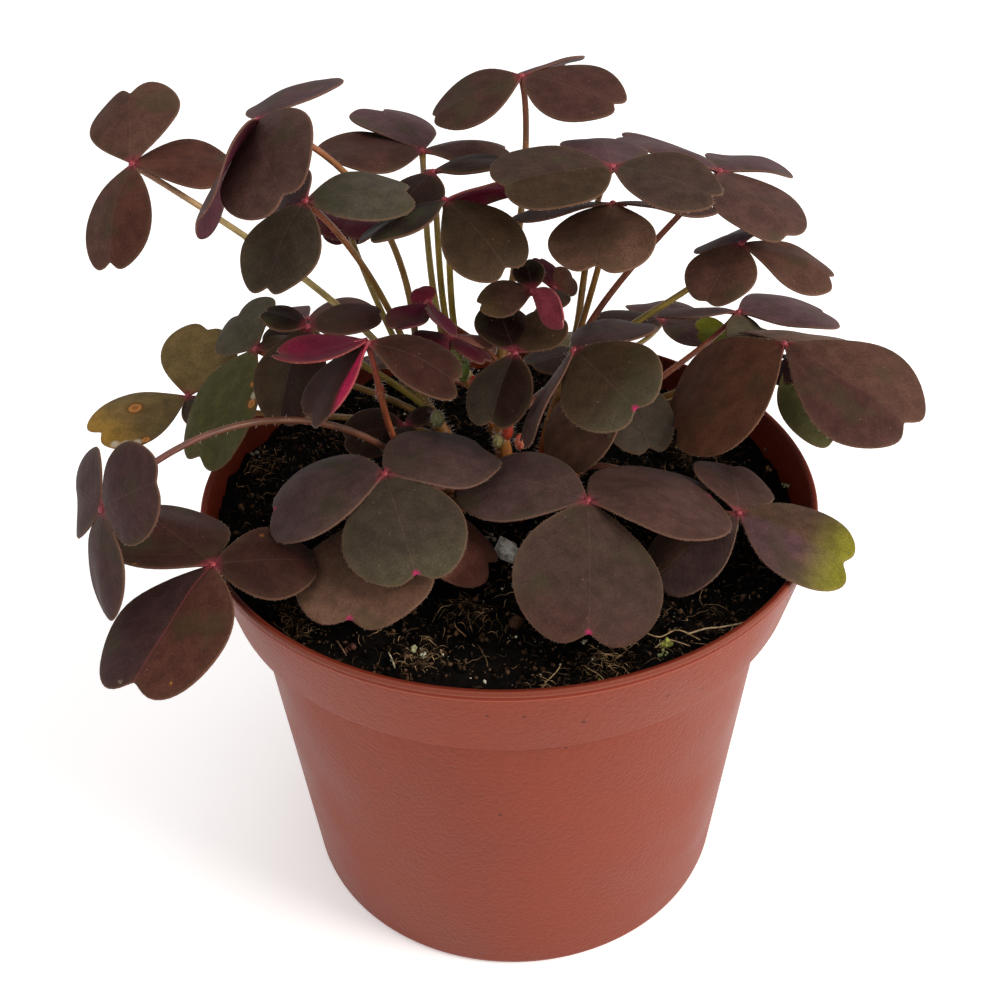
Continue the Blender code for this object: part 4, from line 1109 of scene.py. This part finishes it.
def soilBody():
    # rings of the soil's height, then rings down the pot's wall
    form = soilForm
    steps, wall = form["steps"], np.array(form["wall"])
    r = form["edge"] * np.linspace(0, 1, form["rings"] + 1)[1:] ** 0.8
    flat = ringsRound(r, r, steps)
    x, y = flat[..., 0], flat[..., 1]
    z = soilHeight(x, y)
    # the last rings reach out to the wall, wallRadius + wallSlope (z - wallHeight)
    reach = form["wallRadius"] + form["wallSlope"] * (z - form["wallHeight"]) - form["wallRoom"]
    out = 1 + (reach / form["edge"] - 1) * smooth(0.85, 1, r / form["edge"])[:, None]
    top = np.stack([x * out, y * out, z], -1)
    shell = np.concatenate([top, ringsRound(wall[:, 0], wall[:, 1], steps)])
    summit = soilHeight(np.zeros(1), np.zeros(1))[0]
    points = np.vstack([shell.reshape(-1, 3), [0, 0, summit], [0, 0, wall[-1, 1]]])
    return {"points": points, "quads": gridQuads(len(shell), steps, closed=True),
            "triangles": endFans(len(shell) * steps, steps),
            "tint": soilTint(points[:, 0], points[:, 1])}


def randomTurns(count):
    # rotation matrices from random quaternions
    w, x, y, z = unit(chance.normal(size=(count, 4))).T
    return np.stack([1 - 2 * (y * y + z * z), 2 * (x * y - w * z), 2 * (x * z + w * y),
                     2 * (x * y + w * z), 1 - 2 * (x * x + z * z), 2 * (y * z - w * x),
                     2 * (x * z - w * y), 2 * (y * z + w * x), 1 - 2 * (x * x + y * y)],
                    -1).reshape(-1, 3, 3)


# an icosahedron, from three golden rectangles
golden = (1 + 5 ** 0.5) / 2
crumbPoints = unit(np.array([(-1, golden, 0), (1, golden, 0), (-1, -golden, 0), (1, -golden, 0),
                             (0, -1, golden), (0, 1, golden), (0, -1, -golden), (0, 1, -golden),
                             (golden, 0, -1), (golden, 0, 1), (-golden, 0, -1),
                             (-golden, 0, 1)]))
crumbFaces = np.array([(0, 11, 5), (0, 5, 1), (0, 1, 7), (0, 7, 10), (0, 10, 11), (1, 5, 9),
                       (5, 11, 4), (11, 10, 2), (10, 7, 6), (7, 1, 8), (3, 9, 4), (3, 4, 2),
                       (3, 2, 6), (3, 6, 8), (3, 8, 9), (4, 9, 5), (2, 4, 11), (6, 2, 10),
                       (8, 6, 7), (9, 8, 1)])


def scatter(count, edge):
    # even places on a disc
    r = edge * np.sqrt(chance.uniform(0, 1, count))
    a = chance.uniform(0, fullTurn, count)
    return r * np.cos(a), r * np.sin(a)


def roughBits(centre, size, stretch, tints):
    # rough grains: a jittered icosahedron each, stretched and turned
    count, corners = len(size), len(crumbPoints)
    stray = soilForm["stray"]
    shape = crumbPoints[None] * (1 + chance.uniform(-stray, stray, (count, corners, 1)))
    shape = shape * np.stack([np.ones(count), chance.uniform(stretch, 1, count),
                              chance.uniform(stretch, 1, count)], -1)[:, None]
    shape = np.einsum("nij,nkj->nki", randomTurns(count), shape * size[:, None, None])
    faces = (crumbFaces[None] + corners * np.arange(count)[:, None, None]).reshape(-1, 3)
    return {"points": (shape + centre[:, None]).reshape(-1, 3), "triangles": faces,
            "tint": np.repeat(tints, corners, axis=0)}


def clump(place, radius, flatness, hexCode):
    # a stone is one bit; anything under 2 mm is a heap of seven bits, each about half its size
    heap = 1 if radius > 2 else 7
    centre = np.array(place) + chance.normal(0, 0.45 * radius * (heap > 1), (heap, 3)) * [1, 1, 0.5]
    size = radius * (1 if heap == 1 else chance.uniform(0.25, 0.6, heap))
    tints = linear(hexCode) * chance.uniform(0.55, 1.15, (heap, 1))
    return roughBits(centre, np.full(heap, size), flatness, tints)


def crumbs(count, sizes, stretch, tints, sink):
    # count grains partly sunk in the soil, most of them near the small size
    x, y = scatter(count, soilForm["edge"] - 0.9)
    size = sizes[0] * (sizes[1] / sizes[0]) ** chance.uniform(0, 1, count) ** 1.6
    centre = np.column_stack([x, y, soilHeight(x, y) + size * sink])
    return roughBits(centre, size, stretch, tints)


def mixedTints(count, first, second, power):
    # from the first colour to the second, the more of them near the first the higher the power
    share = chance.uniform(0, 1, (count, 1)) ** power
    return linear(first) + (linear(second) - linear(first)) * share


def fibres():
    # thin roots and moss fibres: each bends twice as it lies over the soil, and is thickest in
    # its middle, r sqrt(1 - 4 s^2) for s from -0.5 to 0.5
    form = fibreForm
    count, rings, sides = form["count"], form["rings"], len(form["turns"])
    x, y = scatter(count, soilForm["edge"] - 3)
    tangles = np.array(form["tangles"])[chance.integers(0, len(form["tangles"]), count)]
    tangled = chance.uniform(0, 1, count) < form["tangled"]
    x = np.where(tangled, tangles[:, 0] + tangles[:, 2] * chance.normal(0, 0.6, count), x)
    y = np.where(tangled, tangles[:, 1] + tangles[:, 2] * chance.normal(0, 0.6, count), y)
    heading = chance.uniform(0, fullTurn, count)
    length = chance.uniform(*form["length"], count)
    length = length * np.where(chance.uniform(0, 1, count) < form["longShare"], form["longer"], 1)
    bend = chance.normal(0, form["bend"], (count, 2))
    s = np.linspace(-0.5, 0.5, rings)[None]
    turn = heading[:, None] + bend[:, :1] * s + bend[:, 1:] * 2 * s ** 2
    px = x[:, None] + length[:, None] * s * np.cos(turn)
    py = y[:, None] + length[:, None] * s * np.sin(turn)
    inward = np.minimum(1, (soilForm["edge"] - 0.8) / np.hypot(px, py))
    px, py = px * inward, py * inward
    pz = soilHeight(px, py) + 0.1 + chance.uniform(0, form["lift"], (count, 1)) * (1 - 4 * s ** 2)
    path = np.stack([px, py, pz], -1)
    along = unit(np.gradient(path, axis=1))
    side = unit(np.cross(along, [0, 0, 1.0]))
    up = np.cross(side, along)
    thick = chance.uniform(*form["radius"], (count, 1)) * np.sqrt(1.02 - 4 * s ** 2)
    ring = [path + thick[..., None] * (math.cos(a) * side + math.sin(a) * up)
            for a in form["turns"]]
    first = rings * sides * np.arange(count)[:, None, None]
    quads = gridQuads(rings, sides, closed=True)[:, ::-1]
    last = (rings - 1) * sides
    caps = np.array([(2, 1, 0), (last, last + 1, last + 2)])
    tints = mixedTints(count, *form["colours"], 2.6) * (1 + 0.5 * tangled[:, None])
    return {"points": np.stack(ring, 2).reshape(-1, 3),
            "quads": (quads[None] + first).reshape(-1, 4),
            "triangles": (caps[None] + first).reshape(-1, 3),
            "tint": np.repeat(tints, rings * sides, axis=0)}


def longRoot(points, radius, hexCode):
    # a thin tube on a smooth curve through its points
    form = fibreForm
    steps = form["rootSteps"]
    path = throughPoints([(x, y, form["rootHeight"]) for x, y in points], steps)
    return tube(path, np.full(steps, radius), form["rootSides"],
                np.tile(linear(hexCode), (steps, 1)))


peatSkin = peat()
soil = makePiece("soilBed", [soilBody()], [peatSkin])
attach(soil, "root")
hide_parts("soil")
form = soilForm
extras = {
    "peatCrumbs": [crumbs(form["crumbs"], (0.14, 0.62), 0.35,
                          mixedTints(form["crumbs"], form["black"], form["dry"], 3.5), 0.25)],
    "barkChips": [crumbs(form["chips"], (0.7, 2.0), 0.22,
                         mixedTints(form["chips"], "#120b07", "#4a3224", 2), 0.1)],
    "perliteGrains": [crumbs(form["perlite"], (0.07, 0.36), 0.4,
                             mixedTints(form["perlite"], "#6e5f48", "#d2ccb6", 2.5), 0.5),
                      *(clump(*find) for find in finds)],
    "peatFibres": [fibres(), *(longRoot(*root) for root in fibreForm["roots"])],
}
for name, parts in extras.items():
    piece = makePiece(name, parts, [peatSkin])
    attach(piece, "root")
print("soil:", form["crumbs"], "crumbs")


# Floor, light and camera
def plainFloor():
    # White acrylic sheet, lit a little from below, so that shadows on it stay pale
    material, tree, shader = newMaterial("litAcrylic", Roughness=0.8, Specular_IOR_Level=0.1,
                                         Emission_Strength=0.28)
    colour = ramped(tree, noise(tree, objectPlace(tree), 4), [(0.3, "#fbfaf9"), (0.7, "#fefdfc")])
    tree.links.new(colour, shader.inputs["Base Color"])
    tree.links.new(colour, shader.inputs["Emission Color"])
    return material


floorHalf = 4.0
floorMesh = bpy.data.meshes.new("floor")
floorMesh.from_pydata([(-floorHalf, -floorHalf, 0), (floorHalf, -floorHalf, 0),
                       (floorHalf, floorHalf, 0), (-floorHalf, floorHalf, 0)], [],
                      [(0, 1, 2, 3)])
floorMesh.materials.append(plainFloor())
floor = bpy.data.objects.new("floor", floorMesh)
bpy.context.scene.collection.objects.link(floor)

lights = {
    # place in metres, size in metres, watts, colour
    "keySoftbox": ((0.95, -0.4, 0.7), 0.6, 13.6, "#fffaf4"),
    "fillSoftbox": ((-0.5, -0.9, 0.7), 0.8, 2.5, "#f8f9ff"),
    "topSoftbox": ((-0.2, 0.1, 1.2), 0.9, 3.0, "#ffffff"),
}
target = np.array([0, 0, 0.09])
for name, (place, size, watts, hexCode) in lights.items():
    lamp = bpy.data.lights.new(name, "AREA")
    lamp.shape, lamp.size, lamp.energy = "DISK", size, watts
    lamp.color = linear(hexCode)
    holder = bpy.data.objects.new(name, lamp)
    back = unit(np.array(place) - target)
    right = unit(np.cross([0, 0, 1.0], back))
    facing = np.column_stack([right, np.cross(back, right), back])
    holder.matrix_world = Matrix.Translation(place) @ Matrix(facing.tolist()).to_4x4()
    bpy.context.scene.collection.objects.link(holder)

room = {"colour": "#ffffff", "strength": 0.55}
world = bpy.data.worlds.new("softRoom")
world.use_nodes = True
background = world.node_tree.nodes["Background"].inputs
background["Color"].default_value = (*linear(room["colour"]), 1)
background["Strength"].default_value = room["strength"]
bpy.context.scene.world = world
bpy.context.scene.view_settings.view_transform = "Standard"

# angles in degrees but for the roll, in radians; distances in metres
view = {"elevation": 35.69, "distance": 0.2303, "roll": -0.0251, "target": (-0.00162, 0, 0.07604),
        "focalPixels": 1324.434, "longSide": 1000, "sensor": 36.0, "clip": (0.01, 20)}
lift, roll = math.radians(view["elevation"]), view["roll"]
back = np.array([0, -math.cos(lift), math.sin(lift)])
level, upright = np.array([1.0, 0, 0]), np.array([0, math.sin(lift), math.cos(lift)])
right = level * math.cos(roll) + upright * math.sin(roll)
up = upright * math.cos(roll) - level * math.sin(roll)
lens = bpy.data.cameras.new("camera")
lens.sensor_width = view["sensor"]
lens.lens = view["focalPixels"] / view["longSide"] * view["sensor"]
lens.clip_start, lens.clip_end = view["clip"]
camera = bpy.data.objects.new("camera", lens)
camera.matrix_world = (Matrix.Translation(np.array(view["target"]) + back * view["distance"])
                       @ Matrix(np.column_stack([right, up, back]).tolist()).to_4x4())
bpy.context.scene.collection.objects.link(camera)
bpy.context.scene.camera = camera
